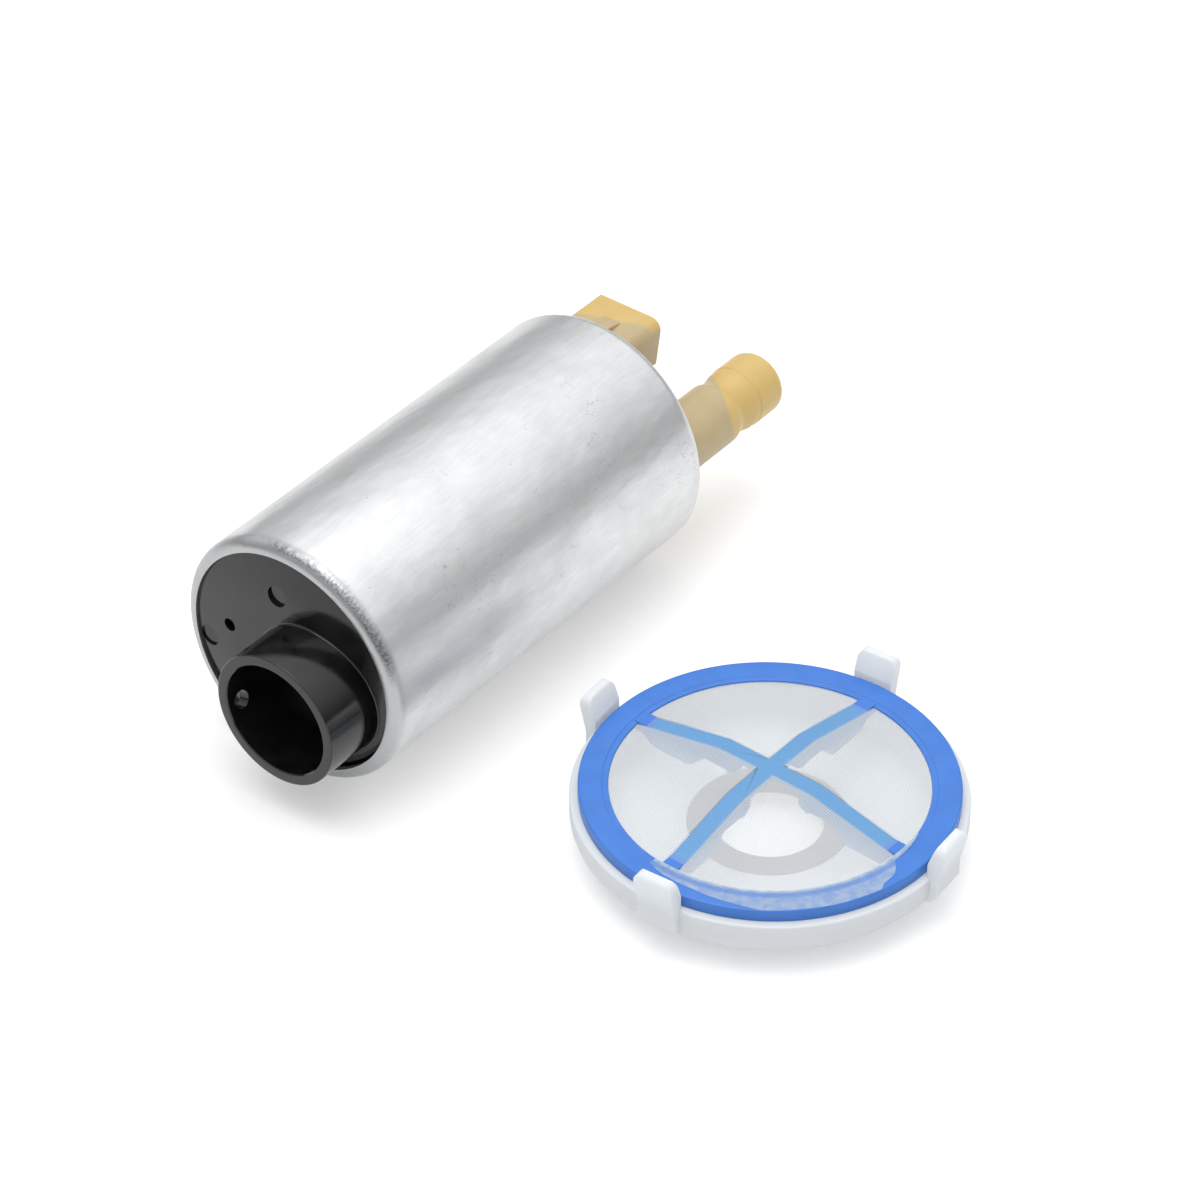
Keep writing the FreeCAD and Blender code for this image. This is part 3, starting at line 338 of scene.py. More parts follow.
def crimp_marks(tree, place):
    """Share of the short grey strokes that the rolling tool left beside the inlet lip."""
    parts = add(tree, "ShaderNodeSeparateXYZ", {"Vector": place})
    starts = ranged(tree, parts.outputs["X"], inlet_rim_x + 0.25, inlet_rim_x + 0.5, 0.0, 1.0)
    ends = ranged(tree, parts.outputs["X"], inlet_rim_x + 1.0, inlet_rim_x + 2.0, 1.0, 0.0)
    band = maths(tree, "MULTIPLY", starts, ends)
    stroke_place = add(tree, "ShaderNodeMapping", {"Vector": place, "Scale": (0.35, 4.0, 4.0)})
    strokes = add(tree, "ShaderNodeTexNoise", {"Vector": stroke_place.outputs["Vector"], "Scale": 1.0,
                                               "Detail": 2.0})
    share = ranged(tree, strokes.outputs["Fac"], 0.42, 0.58, 0.45, 0.95)
    # Only a quarter of the rim was marked, the upper part towards -Y
    side = add(tree, "ShaderNodeVectorMath", {0: place, 1: (0.0, -0.5, 0.866)}, operation="DOT_PRODUCT")
    upper = ranged(tree, side.outputs["Value"], 12.5, 15.5, 0.0, 1.0)
    return maths(tree, "MULTIPLY", maths(tree, "MULTIPLY", share, band), upper)


def moulded_black_pps():
    """Black glass-filled plastic, moulded: a smooth skin that mirrors softly, faintly cloudy."""
    material, tree, shader, place = new_material("pps_black_moulded")
    cloud = add(tree, "ShaderNodeTexNoise", {"Vector": place, "Scale": 0.35, "Detail": 4.0})
    cloudy = ranged(tree, cloud.outputs["Fac"], 0.35, 0.65, 0.0, 1.0)
    colour = mixed(tree, cloudy, spot("0d0d0e"), spot("151617"))
    tree.links.new(colour, shader.inputs["Base Color"])
    rough = ranged(tree, cloud.outputs["Fac"], 0.3, 0.7, 0.1, 0.16)
    tree.links.new(rough, shader.inputs["Roughness"])
    grain = add(tree, "ShaderNodeTexNoise", {"Vector": place, "Scale": 4.0, "Detail": 3.0})
    bump = add(tree, "ShaderNodeBump", {"Strength": 0.1, "Distance": 0.00002, "Height": grain.outputs["Fac"]})
    tree.links.new(bump.outputs["Normal"], shader.inputs["Normal"])
    return material


def moulded_natural_nylon():
    """Natural nylon, moulded: amber and slightly see-through, with painted shade in a paler beige where it
    stands near the metal.
    """
    material, tree, shader, place = new_material("nylon_natural_moulded")

    def beyond(slope, edge):
        """One beyond a slanting plane across the axis, nothing before it."""
        reach = add(tree, "ShaderNodeVectorMath", {0: place, 1: slope}, operation="DOT_PRODUCT")
        return ranged(tree, reach.outputs["Value"], edge - 0.2, edge + 0.2, 0.0, 1.0)

    parts = add(tree, "ShaderNodeSeparateXYZ", {"Vector": place})
    on_plug = ranged(tree, parts.outputs["Y"], -4.0, -3.9, 0.0, 1.0)
    # Painted shade: the plug housing's side that faces the nipple, its top near the casing and the nipple's
    # stem are painted beige; the nylon is amber throughout
    on_top = maths(tree, "MULTIPLY", beyond((1.0, 0.345, 0.0), 44.4), beyond((0.0, 1.0, 0.119), 0.1))
    on_head = beyond((1.0, -0.75, 0.2), 57.8)
    share = add(tree, "ShaderNodeMix", {0: on_plug, 2: on_head, 3: on_top}, data_type="FLOAT")
    cloud = add(tree, "ShaderNodeTexNoise", {"Vector": place, "Scale": 0.3, "Detail": 3.0})
    amber = mixed(tree, cloud.outputs["Fac"], spot("bb9f5f"), spot("c6ab6c"))
    # Beige is painted shade; amber is the nylon's own colour
    painted_shade_beige = mixed(tree, cloud.outputs["Fac"], spot("a79672"), spot("b4a37e"))
    tree.links.new(mixed(tree, share.outputs[0], painted_shade_beige, amber), shader.inputs["Base Color"])
    shader.inputs["Roughness"].default_value = 0.42
    shader.inputs["Subsurface Weight"].default_value = 0.35
    shader.inputs["Subsurface Radius"].default_value = (1.0, 0.6, 0.3)
    shader.inputs["Subsurface Scale"].default_value = 0.002
    return material


def moulded_clear_polypropylene():
    """Natural polypropylene, moulded: milky white, with light spreading inside it."""
    material, tree, shader, place = new_material("polypropylene_natural_moulded")
    cloud = add(tree, "ShaderNodeTexNoise", {"Vector": place, "Scale": 0.2, "Detail": 3.0})
    colour = mixed(tree, cloud.outputs["Fac"], spot("e0e3e6"), spot("e9ecee"))
    tree.links.new(colour, shader.inputs["Base Color"])
    shader.inputs["Roughness"].default_value = 0.35
    shader.inputs["IOR"].default_value = 1.49
    # Thin walls glow with the light behind them
    through = add(tree, "ShaderNodeBsdfTranslucent", {"Color": spot("f4f6f7")})
    blend = add(tree, "ShaderNodeMixShader", {0: 0.4, 1: shader.outputs["BSDF"], 2: through.outputs["BSDF"]})
    surfaced(tree, blend.outputs["Shader"])
    return material


def moulded_blue_acetal():
    """Blue acetal, moulded: an even bright blue with a soft satin sheen, and painted light that makes the
    arms and ribs paler.
    """
    material, tree, shader, place = new_material("acetal_blue_moulded")
    cloud = add(tree, "ShaderNodeTexNoise", {"Vector": place, "Scale": 0.25, "Detail": 3.0})
    colour = mixed(tree, cloud.outputs["Fac"], spot("2863b2"), spot("3672c5"))
    # Painted light: the arms are painted a paler, greener blue than the ring, and the ribs a pale grey-blue
    # towards their lower parts, standing in for light that the cloth over them scatters
    away = add(tree, "ShaderNodeVectorMath", {0: place, 1: strainer_axis}, operation="SUBTRACT")
    flat = add(tree, "ShaderNodeVectorMath", {0: away.outputs["Vector"], 1: (1.0, 1.0, 0.0)},
               operation="MULTIPLY")
    radius = add(tree, "ShaderNodeVectorMath", {0: flat.outputs["Vector"]}, operation="LENGTH")
    on_arm = ranged(tree, radius.outputs["Value"],
                    ring_inner_radius - 2.15, ring_inner_radius - 2.05, 1.0, 0.0)
    height = add(tree, "ShaderNodeSeparateXYZ", {"Vector": away.outputs["Vector"]}).outputs["Z"]
    low = ranged(tree, height, collar_reach + 4.3, ring_base_z + 1.2, 0.7, 0.0)
    painted_scatter_blue = mixed(tree, low, spot("0f7ab4"), spot("9db2cc"))
    tree.links.new(mixed(tree, on_arm, colour, painted_scatter_blue), shader.inputs["Base Color"])
    shader.inputs["Roughness"].default_value = 0.38
    grain = add(tree, "ShaderNodeTexNoise", {"Vector": place, "Scale": 3.0, "Detail": 2.0})
    bump = add(tree, "ShaderNodeBump", {"Strength": 0.1, "Distance": 0.00002, "Height": grain.outputs["Fac"]})
    tree.links.new(bump.outputs["Normal"], shader.inputs["Normal"])
    return material


def woven_nylon_gauze():
    """Fine nylon gauze, plain woven: white threads with open squares that the cross shows through."""
    material, tree, shader, place = new_material("nylon_gauze_woven")
    # Distance between threads, and how much of it one thread covers
    pitch = 0.33
    thread_share = 0.2
    away = add(tree, "ShaderNodeVectorMath", {0: place, 1: strainer_axis}, operation="SUBTRACT")
    turned = add(tree, "ShaderNodeVectorRotate", {"Vector": away.outputs["Vector"],
                                                  "Angle": -math.radians(dish_turn + frame_turn)},
                 rotation_type="Z_AXIS")
    parts = add(tree, "ShaderNodeSeparateXYZ", {"Vector": turned.outputs["Vector"]})
    threads = []
    arms = []
    for axis in ("X", "Y"):
        within = maths(tree, "FRACT", maths(tree, "DIVIDE", parts.outputs[axis], pitch))
        threads.append(maths(tree, "LESS_THAN", within, thread_share))
        across = maths(tree, "ABSOLUTE", parts.outputs[axis])
        half = arm_width / 2
        arms.append(ranged(tree, across, half - 0.05, half + 0.25, 1.0, 0.0))
    cover = maths(tree, "MAXIMUM", *threads)
    touching = maths(tree, "MAXIMUM", *arms)
    # Cloth that is bonded to an arm or to the ring lets more of the blue through
    inside = ranged(tree, touching, 0.0, 1.0, 1.0, 0.12)
    flat = add(tree, "ShaderNodeVectorMath", {0: turned.outputs["Vector"], 1: (1.0, 1.0, 0.0)},
               operation="MULTIPLY")
    reach = add(tree, "ShaderNodeVectorMath", {0: flat.outputs["Vector"]}, operation="LENGTH")
    radius = reach.outputs["Value"]
    near_edge = ranged(tree, radius, 22.3, 22.8, 1.1, 0.25)
    further = ranged(tree, radius, 23.2, 23.6, 0.0, 0.58)
    glue = add(tree, "ShaderNodeTexNoise", {"Vector": place, "Scale": 0.7, "Detail": 3.0})
    patchy = ranged(tree, glue.outputs["Fac"], 0.35, 0.65, 0.7, 1.3)
    bonded = maths(tree, "MULTIPLY", maths(tree, "ADD", near_edge, further), patchy)
    on_ring = maths(tree, "GREATER_THAN", radius, ring_inner_radius)
    veil = add(tree, "ShaderNodeMix", {0: on_ring, 2: inside, 3: bonded}, data_type="FLOAT").outputs[0]
    gap = maths(tree, "MULTIPLY", veil, 0.4)
    thread = maths(tree, "MULTIPLY_ADD", veil, 0.37, 0.26)
    opacity = add(tree, "ShaderNodeMix", {0: cover, 2: gap, 3: thread}, data_type="FLOAT").outputs[0]
    tree.links.new(opacity, shader.inputs["Alpha"])
    # Painted shade: the cloth over the ring is painted a duller grey-green than the open cloth
    white = mixed(tree, on_ring, spot("f3f5f6"), spot("d8e4df"))
    tree.links.new(white, shader.inputs["Base Color"])
    shader.inputs["Roughness"].default_value = 0.5
    # Nylon thread lets part of the light through
    through = add(tree, "ShaderNodeBsdfTranslucent", {"Color": white})
    clear = add(tree, "ShaderNodeBsdfTransparent")
    lit = add(tree, "ShaderNodeMixShader",
              {0: opacity, 1: clear.outputs["BSDF"], 2: through.outputs["BSDF"]})
    blend = add(tree, "ShaderNodeMixShader", {0: 0.3, 1: shader.outputs["BSDF"], 2: lit.outputs["Shader"]})
    surfaced(tree, blend.outputs["Shader"])
    return material


def surface(name, colour, metallic, roughness, grain_mm, depth_mm):
    """Plain finish with a slight change of tone and a fine grain."""
    material, tree, shader, place = new_material(name)
    grain = add(tree, "ShaderNodeTexNoise", {"Vector": place, "Scale": 1 / grain_mm, "Detail": 3.0})
    base = spot(colour)
    darker = (*[0.8 * part for part in base[:3]], 1.0)
    tree.links.new(mixed(tree, grain.outputs["Fac"], darker, base), shader.inputs["Base Color"])
    shader.inputs["Metallic"].default_value = metallic
    shader.inputs["Roughness"].default_value = roughness
    bump = add(tree, "ShaderNodeBump", {"Strength": 0.3, "Distance": depth_mm * MM,
                                        "Height": grain.outputs["Fac"]})
    tree.links.new(bump.outputs["Normal"], shader.inputs["Normal"])
    return material


def rounded_outline(corners, steps=6):
    """Closed outline from (a, b, radius) corners, each rounded by an arc of its radius."""
    points = []
    count = len(corners)
    for index, (a, b, radius) in enumerate(corners):
        here = Vector((a, b))
        if radius == 0:
            points.append(here)
            continue
        back = (Vector(corners[index - 1][:2]) - here).normalized()
        ahead = (Vector(corners[(index + 1) % count][:2]) - here).normalized()
        half = back.angle(ahead) / 2
        centre = here + (back + ahead).normalized() * (radius / math.sin(half))
        start = here + back * (radius / math.tan(half)) - centre
        end = here + ahead * (radius / math.tan(half)) - centre
        first = math.atan2(start.y, start.x)
        sweep = math.atan2(end.y, end.x) - first
        sweep = (sweep + math.pi) % (2 * math.pi) - math.pi
        for step in range(steps + 1):
            turn = first + sweep * step / steps
            points.append(centre + radius * Vector((math.cos(turn), math.sin(turn))))
    return points


def shown(name, bm):
    """Object from a bmesh in millimetres, smooth but for its sharp edges."""
    bmesh.ops.remove_doubles(bm, verts=bm.verts, dist=weld_distance)
    bmesh.ops.recalc_face_normals(bm, faces=bm.faces)
    bmesh.ops.scale(bm, vec=(MM, MM, MM), verts=bm.verts)
    mark_sharp(bm)
    mesh = bpy.data.meshes.new(name)
    bm.to_mesh(mesh)
    bm.free()
    obj = bpy.data.objects.new(name, mesh)
    bpy.context.scene.collection.objects.link(obj)
    return obj


def mark_sharp(bm):
    """Shades faces smooth and keeps edges over the crisp angle sharp."""
    for face in bm.faces:
        face.smooth = True
    for edge in bm.edges:
        edge.smooth = len(edge.link_faces) != 2 or edge.calc_face_angle(0) < crisp_angle


def spun(name, outline, along_x=True, y=0.0, z=0.0, steps=192):
    """Solid turned from a closed outline of (along, radius) points, about X or about the strainer's axis.

    The outline may also be a function that gives the points at a turn.
    """
    bm = bmesh.new()
    rings = []
    for step in range(steps):
        turn = 2 * math.pi * step / steps
        points = outline(turn) if callable(outline) else outline
        ring = []
        for along, radius in points:
            if along_x:
                place = (along, y + radius * math.cos(turn), z + radius * math.sin(turn))
            else:
                place = (radius * math.cos(turn), radius * math.sin(turn), along)
            ring.append(bm.verts.new(place))
        rings.append(ring)
    count = len(points)
    for step in range(steps):
        ring, after = rings[step], rings[(step + 1) % steps]
        for index in range(count):
            follow = (index + 1) % count
            if points[index][1] < 1e-6 and points[follow][1] < 1e-6:
                continue
            bm.faces.new((ring[index], ring[follow], after[follow], after[index]))
    return shown(name, bm)


def prism(name, outline, place, depth):
    """Solid pushed out of a flat outline. Place puts a point in space, depth is the push."""
    bm = bmesh.new()
    near = [bm.verts.new(place(point)) for point in outline]
    far = [bm.verts.new(Vector(place(point)) + Vector(depth)) for point in outline]
    bm.faces.new(near)
    bm.faces.new(far[::-1])
    count = len(outline)
    for index in range(count):
        follow = (index + 1) % count
        bm.faces.new((near[index], near[follow], far[follow], far[index]))
    return shown(name, bm)


def block(name, low, high):
    """Square block between two corners."""
    outline = [(low[1], low[2]), (high[1], low[2]), (high[1], high[2]), (low[1], high[2])]
    return prism(name, outline, lambda p: (low[0], p[0], p[1]), (high[0] - low[0], 0, 0))


def bar(name, radius, x_from, x_to, y, z, steps=96):
    """Round bar along X."""
    return spun(name, [(x_from, 0), (x_to, 0), (x_to, radius), (x_from, radius)], True, y, z, steps)


def combined(obj, others, operation):
    """Obj after a boolean with each of the others, which are used up."""
    for other in others:
        modifier = obj.modifiers.new("combine", "BOOLEAN")
        modifier.operation = operation
        modifier.solver = "EXACT"
        modifier.object = other
        graph = bpy.context.evaluated_depsgraph_get()
        mesh = bpy.data.meshes.new_from_object(obj.evaluated_get(graph))
        obj.modifiers.clear()
        obj.data = mesh
        bpy.data.objects.remove(other)
    bm = bmesh.new()
    bm.from_mesh(obj.data)
    bmesh.ops.remove_doubles(bm, verts=bm.verts, dist=weld_distance * MM)
    mark_sharp(bm)
    bm.to_mesh(obj.data)
    bm.free()
    return obj


def softened(obj, width, segments=2):
    """Obj with its sharp edges rounded by a small bevel."""
    modifier = obj.modifiers.new("soften", "BEVEL")
    modifier.width = width * MM
    modifier.segments = segments
    modifier.limit_method = "ANGLE"
    modifier.angle_limit = crisp_angle
    graph = bpy.context.evaluated_depsgraph_get()
    mesh = bpy.data.meshes.new_from_object(obj.evaluated_get(graph))
    obj.modifiers.clear()
    obj.data = mesh
    bm = bmesh.new()
    bm.from_mesh(obj.data)
    mark_sharp(bm)
    bm.to_mesh(obj.data)
    bm.free()
    return obj


def dressed(obj, material, body, node):
    """Obj in its material, riding on its body in place of a CAD node."""
    obj.data.materials.clear()
    obj.data.materials.append(material)
    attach(obj, body)
    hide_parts(node)
    return obj


def casing():
    """Drawn tube with both ends rolled in over the covers."""
    inner = casing_radius - casing_wall
    return spun("casing_shell", rounded_outline([
        (inlet_rim_x, casing_radius, roll_radius),
        (outlet_rim_x, casing_radius, roll_radius),
        (outlet_rim_x, lip_radius, lip_edge_round),
        (outlet_face_x, lip_radius, 0),
        (outlet_face_x, inner, 0),
        (land_x, inner, 0),
        (land_x, lip_radius, 0),
        (inlet_rim_x, lip_radius, lip_edge_round)], 8), steps=256)


def cover_face_x(y, z):
    """Where the inlet cover's face lies: it falls away to the lip, most on the -Y side."""
    radius = math.hypot(y, z)
    share = max(0.0, radius - face_flat_radius) / (lip_radius - seat_gap - face_flat_radius)
    side = 0.5 * (1 - y / max(radius, face_flat_radius))
    return face_x + (face_fall_near + (face_fall_far - face_fall_near) * side) * share ** face_fall_power


def inlet_tube_outline(turn):
    """Outline of the inlet tube at a turn about its axis, with its foot on the sloping face."""
    foot_radius = tube_radius + tube_foot_round
    foot_x = cover_face_x(tube_y + foot_radius * math.cos(turn), tube_z + foot_radius * math.sin(turn))
    return rounded_outline([
        (tube_mouth_x, 0, 0),
        (tube_mouth_x, tube_radius, tube_mouth_round),
        (foot_x, tube_radius, tube_foot_round),
        (foot_x, foot_radius + 0.1, 0),
        (tube_floor_x, foot_radius + 0.1, 0),
        (tube_floor_x, 0, 0)])


def inlet_disc_outline(turn):
    """Outline of the inlet cover's disc at a turn about the pump's axis."""
    edge_radius = lip_radius - seat_gap
    steps = 16
    falling = []
    for step in range(1, steps + 1):
        radius = face_flat_radius + (edge_radius - face_flat_radius) * step / steps
        falling.append(Vector((cover_face_x(radius * math.cos(turn), radius * math.sin(turn)), radius)))
    seat_x = land_x + cover_step
    return [
        Vector((face_x, 0)),
        Vector((face_x, face_flat_radius)),
        *falling,
        Vector((seat_x, edge_radius)),
        Vector((seat_x, fitted_radius)),
        Vector((cover_inner_x, fitted_radius)),
        Vector((cover_inner_x, 0))]


def inlet_cover():
    """Moulded cover: face that falls away to the lip, offset tube, side hole, vent, ejector marks."""
    disc = spun("inlet_cover_moulding", inlet_disc_outline, steps=256)
    tube = spun("tube", inlet_tube_outline, True, tube_y, tube_z)
    cover = combined(disc, [tube], "UNION")
    bore = spun("bore", rounded_outline([
        (tube_mouth_x - 2 * overshoot, 0, 0),
        (tube_mouth_x - 2 * overshoot, tube_bore_radius + bore_chamfer, 0),
        (tube_mouth_x, tube_bore_radius + bore_chamfer, 0),
        (tube_mouth_x + bore_chamfer, tube_bore_radius, 0),
        (tube_floor_x, tube_bore_radius, 0),
        (tube_floor_x, 0, 0)]), True, tube_y, tube_z)
    turn = math.radians(side_hole_angle)
    hole = bar("hole", side_hole_radius, 0, tube_radius + 2 * overshoot, 0, 0, 48)
    towards = Vector((0, math.cos(turn), math.sin(turn))).to_track_quat("X", "Z").to_matrix().to_4x4()
    shift = Vector((tube_mouth_x + side_hole_from_mouth, tube_y, tube_z)) * MM
    hole.data.transform(Matrix.Translation(shift) @ towards)
    vent = bar("vent", vent_radius, face_x - overshoot, face_x + vent_depth, vent_y, vent_z, 48)
    marks = []
    for y, z in ejector_places:
        reach = 1 + ejector_radius / math.hypot(y, z)
        mark_floor_x = cover_face_x(y * reach, z * reach) + ejector_depth
        marks.append(bar("mark", ejector_radius, face_x - 2 * overshoot, mark_floor_x, y, z, 48))
    return combined(cover, [bore, hole, vent] + marks, "DIFFERENCE")


def nipple():
    """Hose nipple: plain stem, shallow neck and rounded head."""
    return spun("nipple", rounded_outline([
        (web_x, 0, 0),
        (web_x, nipple_radius, 0),
        (outlet_rim_x + nipple_stem_end, nipple_radius, 1.2),
        (outlet_rim_x + nipple_neck_start, nipple_neck_radius, 1.2),
        (outlet_rim_x + nipple_neck_end, nipple_neck_radius, 1.5),
        (outlet_rim_x + nipple_shoulder, nipple_head_radius - nipple_seam, 1.2),
        (outlet_rim_x + nipple_seam_start, nipple_head_radius - nipple_seam, 0),
        (outlet_rim_x + nipple_seam_end, nipple_head_radius, 0),
        (nipple_end_x, nipple_head_radius, 1.6),
        (nipple_end_x, 0, 0)], 8), True, nipple_y, nipple_z, 128)


def plug_housing():
    """Plug housing with one well-rounded top corner and a latch ramp."""
    body = prism("plug_housing", rounded_outline([
        (plug_high[0], plug_low[1], plug_edge_round),
        (plug_high[0], plug_high[1], plug_edge_round),
        (plug_low[0], plug_high[1], plug_corner_round),
        (plug_low[0], plug_high[1] - plug_corner_height, 0),
        (plug_low[0] + plug_lean, plug_low[1], plug_edge_round)]),
        lambda p: (web_x, p[0], p[1]), (plug_end_x - web_x, 0, 0))
    middle = (plug_low[0] + plug_high[0]) / 2
    ramp_x = plug_end_x - ramp_from_end - ramp_length
    ramp = softened(prism("ramp", [
        (ramp_x - ramp_root, plug_high[1] - ramp_root),
        (ramp_x + ramp_length, plug_high[1] - ramp_root),
        (ramp_x + ramp_length, plug_high[1] + ramp_low),
        (ramp_x, plug_high[1] + ramp_high),
        (ramp_x - ramp_root, plug_high[1] + ramp_high)],
        lambda p: (p[0], middle - ramp_width / 2, p[1]), (0, ramp_width, 0)), 0.3, 4)
    return combined(softened(body, 0.15), [ramp], "UNION")


def outlet_cover():
    """Moulded cover: rim, web, nipple, plug housing, relief boss and brush tubes."""
    disc = spun("outlet_cover_moulding", rounded_outline([
        (outlet_low.x, fitted_radius - rim_wall, 0),
        (outlet_low.x, fitted_radius - seal_step_depth, 0),
        (outlet_low.x + seal_step_length, fitted_radius - seal_step_depth, 0),
        (outlet_low.x + seal_step_length, fitted_radius, 0),
        (outlet_face_x, fitted_radius, 0),
        (outlet_face_x, 0, 0),
        (web_x, 0, 0),
        (web_x, fitted_radius - rim_wall, 0)]), steps=192)
    relief_end_x = outlet_face_x + relief_boss_height
    relief = bar("relief", relief_boss_radius, web_x + overshoot, relief_end_x, relief_y, relief_z, 72)
    boss = bar("boss", bearing_boss_radius, outlet_low.x + bearing_boss_start, web_x + overshoot, 0, 0)
    cover = combined(disc, [nipple(), plug_housing(), relief, boss], "UNION")
    socket = block("socket",
                   (plug_end_x - plug_socket_depth, plug_low[0] + plug_wall, plug_low[1] + plug_wall),
                   (plug_end_x + overshoot, plug_high[0] - plug_wall, plug_high[1] - plug_wall))
    valve_bore = bar("valve_bore", valve_bore_radius, web_x - overshoot, valve_bore_end_x, nipple_y, nipple_z)
    mouth = bar("mouth", nipple_mouth_radius, valve_bore_end_x - overshoot, nipple_end_x + overshoot,
                nipple_y, nipple_z)
    relief_bore = bar("relief_bore", relief_bore_radius, web_x + overshoot, relief_end_x + overshoot,
                      relief_y, relief_z, 64)
    bearing_seat = bar("bearing_seat", bearing_seat_radius, outlet_low.x,
                       outlet_low.x + bearing_seat_end, 0, 0)
    caps = []
    for node in ("brush_cap_a", "brush_cap_b"):
        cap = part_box(node)
        centre = (cap[0] + cap[1]) / 2 / MM
        cap_bore = block("cap_bore", (web_x - overshoot, -cap_bore_half, -cap_bore_half),
                         (outlet_face_x + overshoot, cap_bore_half, cap_bore_half))
        cap_bore.data.transform(Matrix.Translation(Vector((0, centre.y, centre.z)) * MM)
                                @ Matrix.Rotation(math.radians(cap_turn), 4, "X"))
        caps.append(cap_bore)
    cuts = [socket, valve_bore, mouth, relief_bore, bearing_seat] + caps
    return combined(cover, cuts, "DIFFERENCE")


def laid(obj, turn):
    """A strainer piece turned about its axis and put beside the pump."""
    place = Matrix.Translation(strainer_axis * MM) @ Matrix.Rotation(math.radians(turn), 4, "Z")
    obj.data.transform(place)
    return obj


def snap_hook(turn):
    """One snap hook: a tab that leans out above the ring to a rounded head."""
    top = ring_top_z + hook_rise
    half = hook_half_width
    side = prism("hook", rounded_outline([
        (dish_radius - 0.9, collar_reach + 2.0, 0),
        (dish_radius - 0.9, ring_base_z - 0.2, 0),
        (ring_outer_radius + hook_clearance, ring_base_z, 0.2),
        (ring_outer_radius + hook_clearance, ring_top_z + 0.4, 0.6),
        (ring_outer_radius + 1.5, top - 0.2, 0.3),
        (ring_outer_radius + 1.7, top, 0.3),
        (ring_outer_radius + 3.1, top, 0.7),
        (ring_outer_radius + 3.0, top - 1.7, 1.5),
        (dish_radius + 0.9, ring_base_z, 2.0),
        (dish_radius + 0.9, collar_reach + 3.2, 0.8),
        (dish_radius - 0.2, collar_reach + 2.0, 0)]), lambda p: (p[0], -half, p[1]), (0, 2 * half, 0))
    front = prism("front", rounded_outline([
        (-half, 0, 0),
        (half, 0, 0),
        (half, top + 0.01, 1.4),
        (-half, top + 0.01, 1.4)]), lambda p: (dish_radius - 4, p[0], p[1]), (10, 0, 0))
    hook = softened(combined(side, [front], "INTERSECT"), 0.22)
    hook.data.transform(Matrix.Rotation(math.radians(turn), 4, "Z"))
    return hook


def strainer_dish():
    """Dish with its rounded wall, ledge, collar and four snap hooks."""
    inner_round = dish_bottom_round - dish_wall
    floor = collar_reach + dish_wall
    shell = spun("strainer_dish_moulding", rounded_outline([
        (0, collar_bore_radius, 0.2),
        (0, collar_radius, 0.3),
        (collar_reach, collar_radius, 0.3),
        (collar_reach, dish_radius, dish_bottom_round),
        (ring_base_z, dish_radius, 0.3),
        (ring_base_z, ring_outer_radius - 2.43, 0.2),
        (ring_base_z - 2.0, dish_radius - dish_wall, 0.6),
        (floor, dish_radius - dish_wall, inner_round),
        (floor, seal_seat_radius, 0.2),
        (seal_base_z, seal_seat_radius, 0),
        (seal_base_z, collar_bore_radius, 0)], 8), False, steps=256)
    hooks = [snap_hook(90 * index) for index in range(4)]
    return laid(combined(shell, hooks, "UNION"), dish_turn)


def strainer_seal():
    """Sealing ring in the dish's collar."""
    floor = collar_reach + dish_wall
    seal = spun("strainer_seal_moulding", rounded_outline([
        (seal_base_z, seal_inner_radius, 0.2),
        (seal_base_z, seal_outer_radius, 0.2),
        (floor, seal_outer_radius, 0.2),
        (floor, seal_inner_radius, 0.2)], 4), False)
    return laid(seal, dish_turn)


def arm_top(radius):
    """Height of an arm's top at a distance from the strainer's axis."""
    outside = max(0.0, radius - plateau_radius)
    return cloth_base_z + arm_rise * (1 - outside / (ring_inner_radius - plateau_radius))


def arm(turn):
    """One arm of the cross with the stepped rib beneath it and its tab at the ring."""
    end = ring_inner_radius + 0.6

    def strip(name, width, corners):
        outline = rounded_outline(corners)
        return prism(name, outline, lambda p: (p[0], -width / 2, p[1]), (0, width, 0))

    top = strip("arm", arm_width, [
        (-1.5, arm_top(0), 0),
        (plateau_radius, arm_top(0), 0),
        (ring_inner_radius, arm_top(ring_inner_radius), 0),
        (end, arm_top(ring_inner_radius), 0),
        (end, arm_top(ring_inner_radius) - arm_thickness, 0),
        (ring_inner_radius, arm_top(ring_inner_radius) - arm_thickness, 0),
        (plateau_radius, arm_top(0) - arm_thickness, 0),
        (-1.5, arm_top(0) - arm_thickness, 0)])
    foot_z = collar_reach + dish_wall + rib_foot_height
    step_z = foot_z + rib_step_height
    rib = strip("rib", rib_width, [
        (rib_start, arm_top(0) - arm_thickness / 2, 0),
        (plateau_radius, arm_top(0) - arm_thickness / 2, 0),
        (ring_inner_radius - ring_gap, arm_top(ring_inner_radius) - arm_thickness / 2, 0),
        (ring_inner_radius - ring_gap, ring_base_z, 0.2),
        (19.8, foot_z, 0.4),
        (13.4, foot_z, 0.9),
        (10.8, step_z, 0.3),
        (7.2, step_z, 0.3),
        (6.7, foot_z + 2.1, 0.2),
        (rib_start, foot_z + 3.1, 0.2)])
    tab = block("tab", (ring_inner_radius - 2.0, -arm_width / 2, cloth_base_z - arm_thickness),
                (end, arm_width / 2, ring_top_z - 0.01))
    piece = combined(top, [rib, tab], "UNION")
    piece.data.transform(Matrix.Rotation(math.radians(turn), 4, "Z"))
    return piece


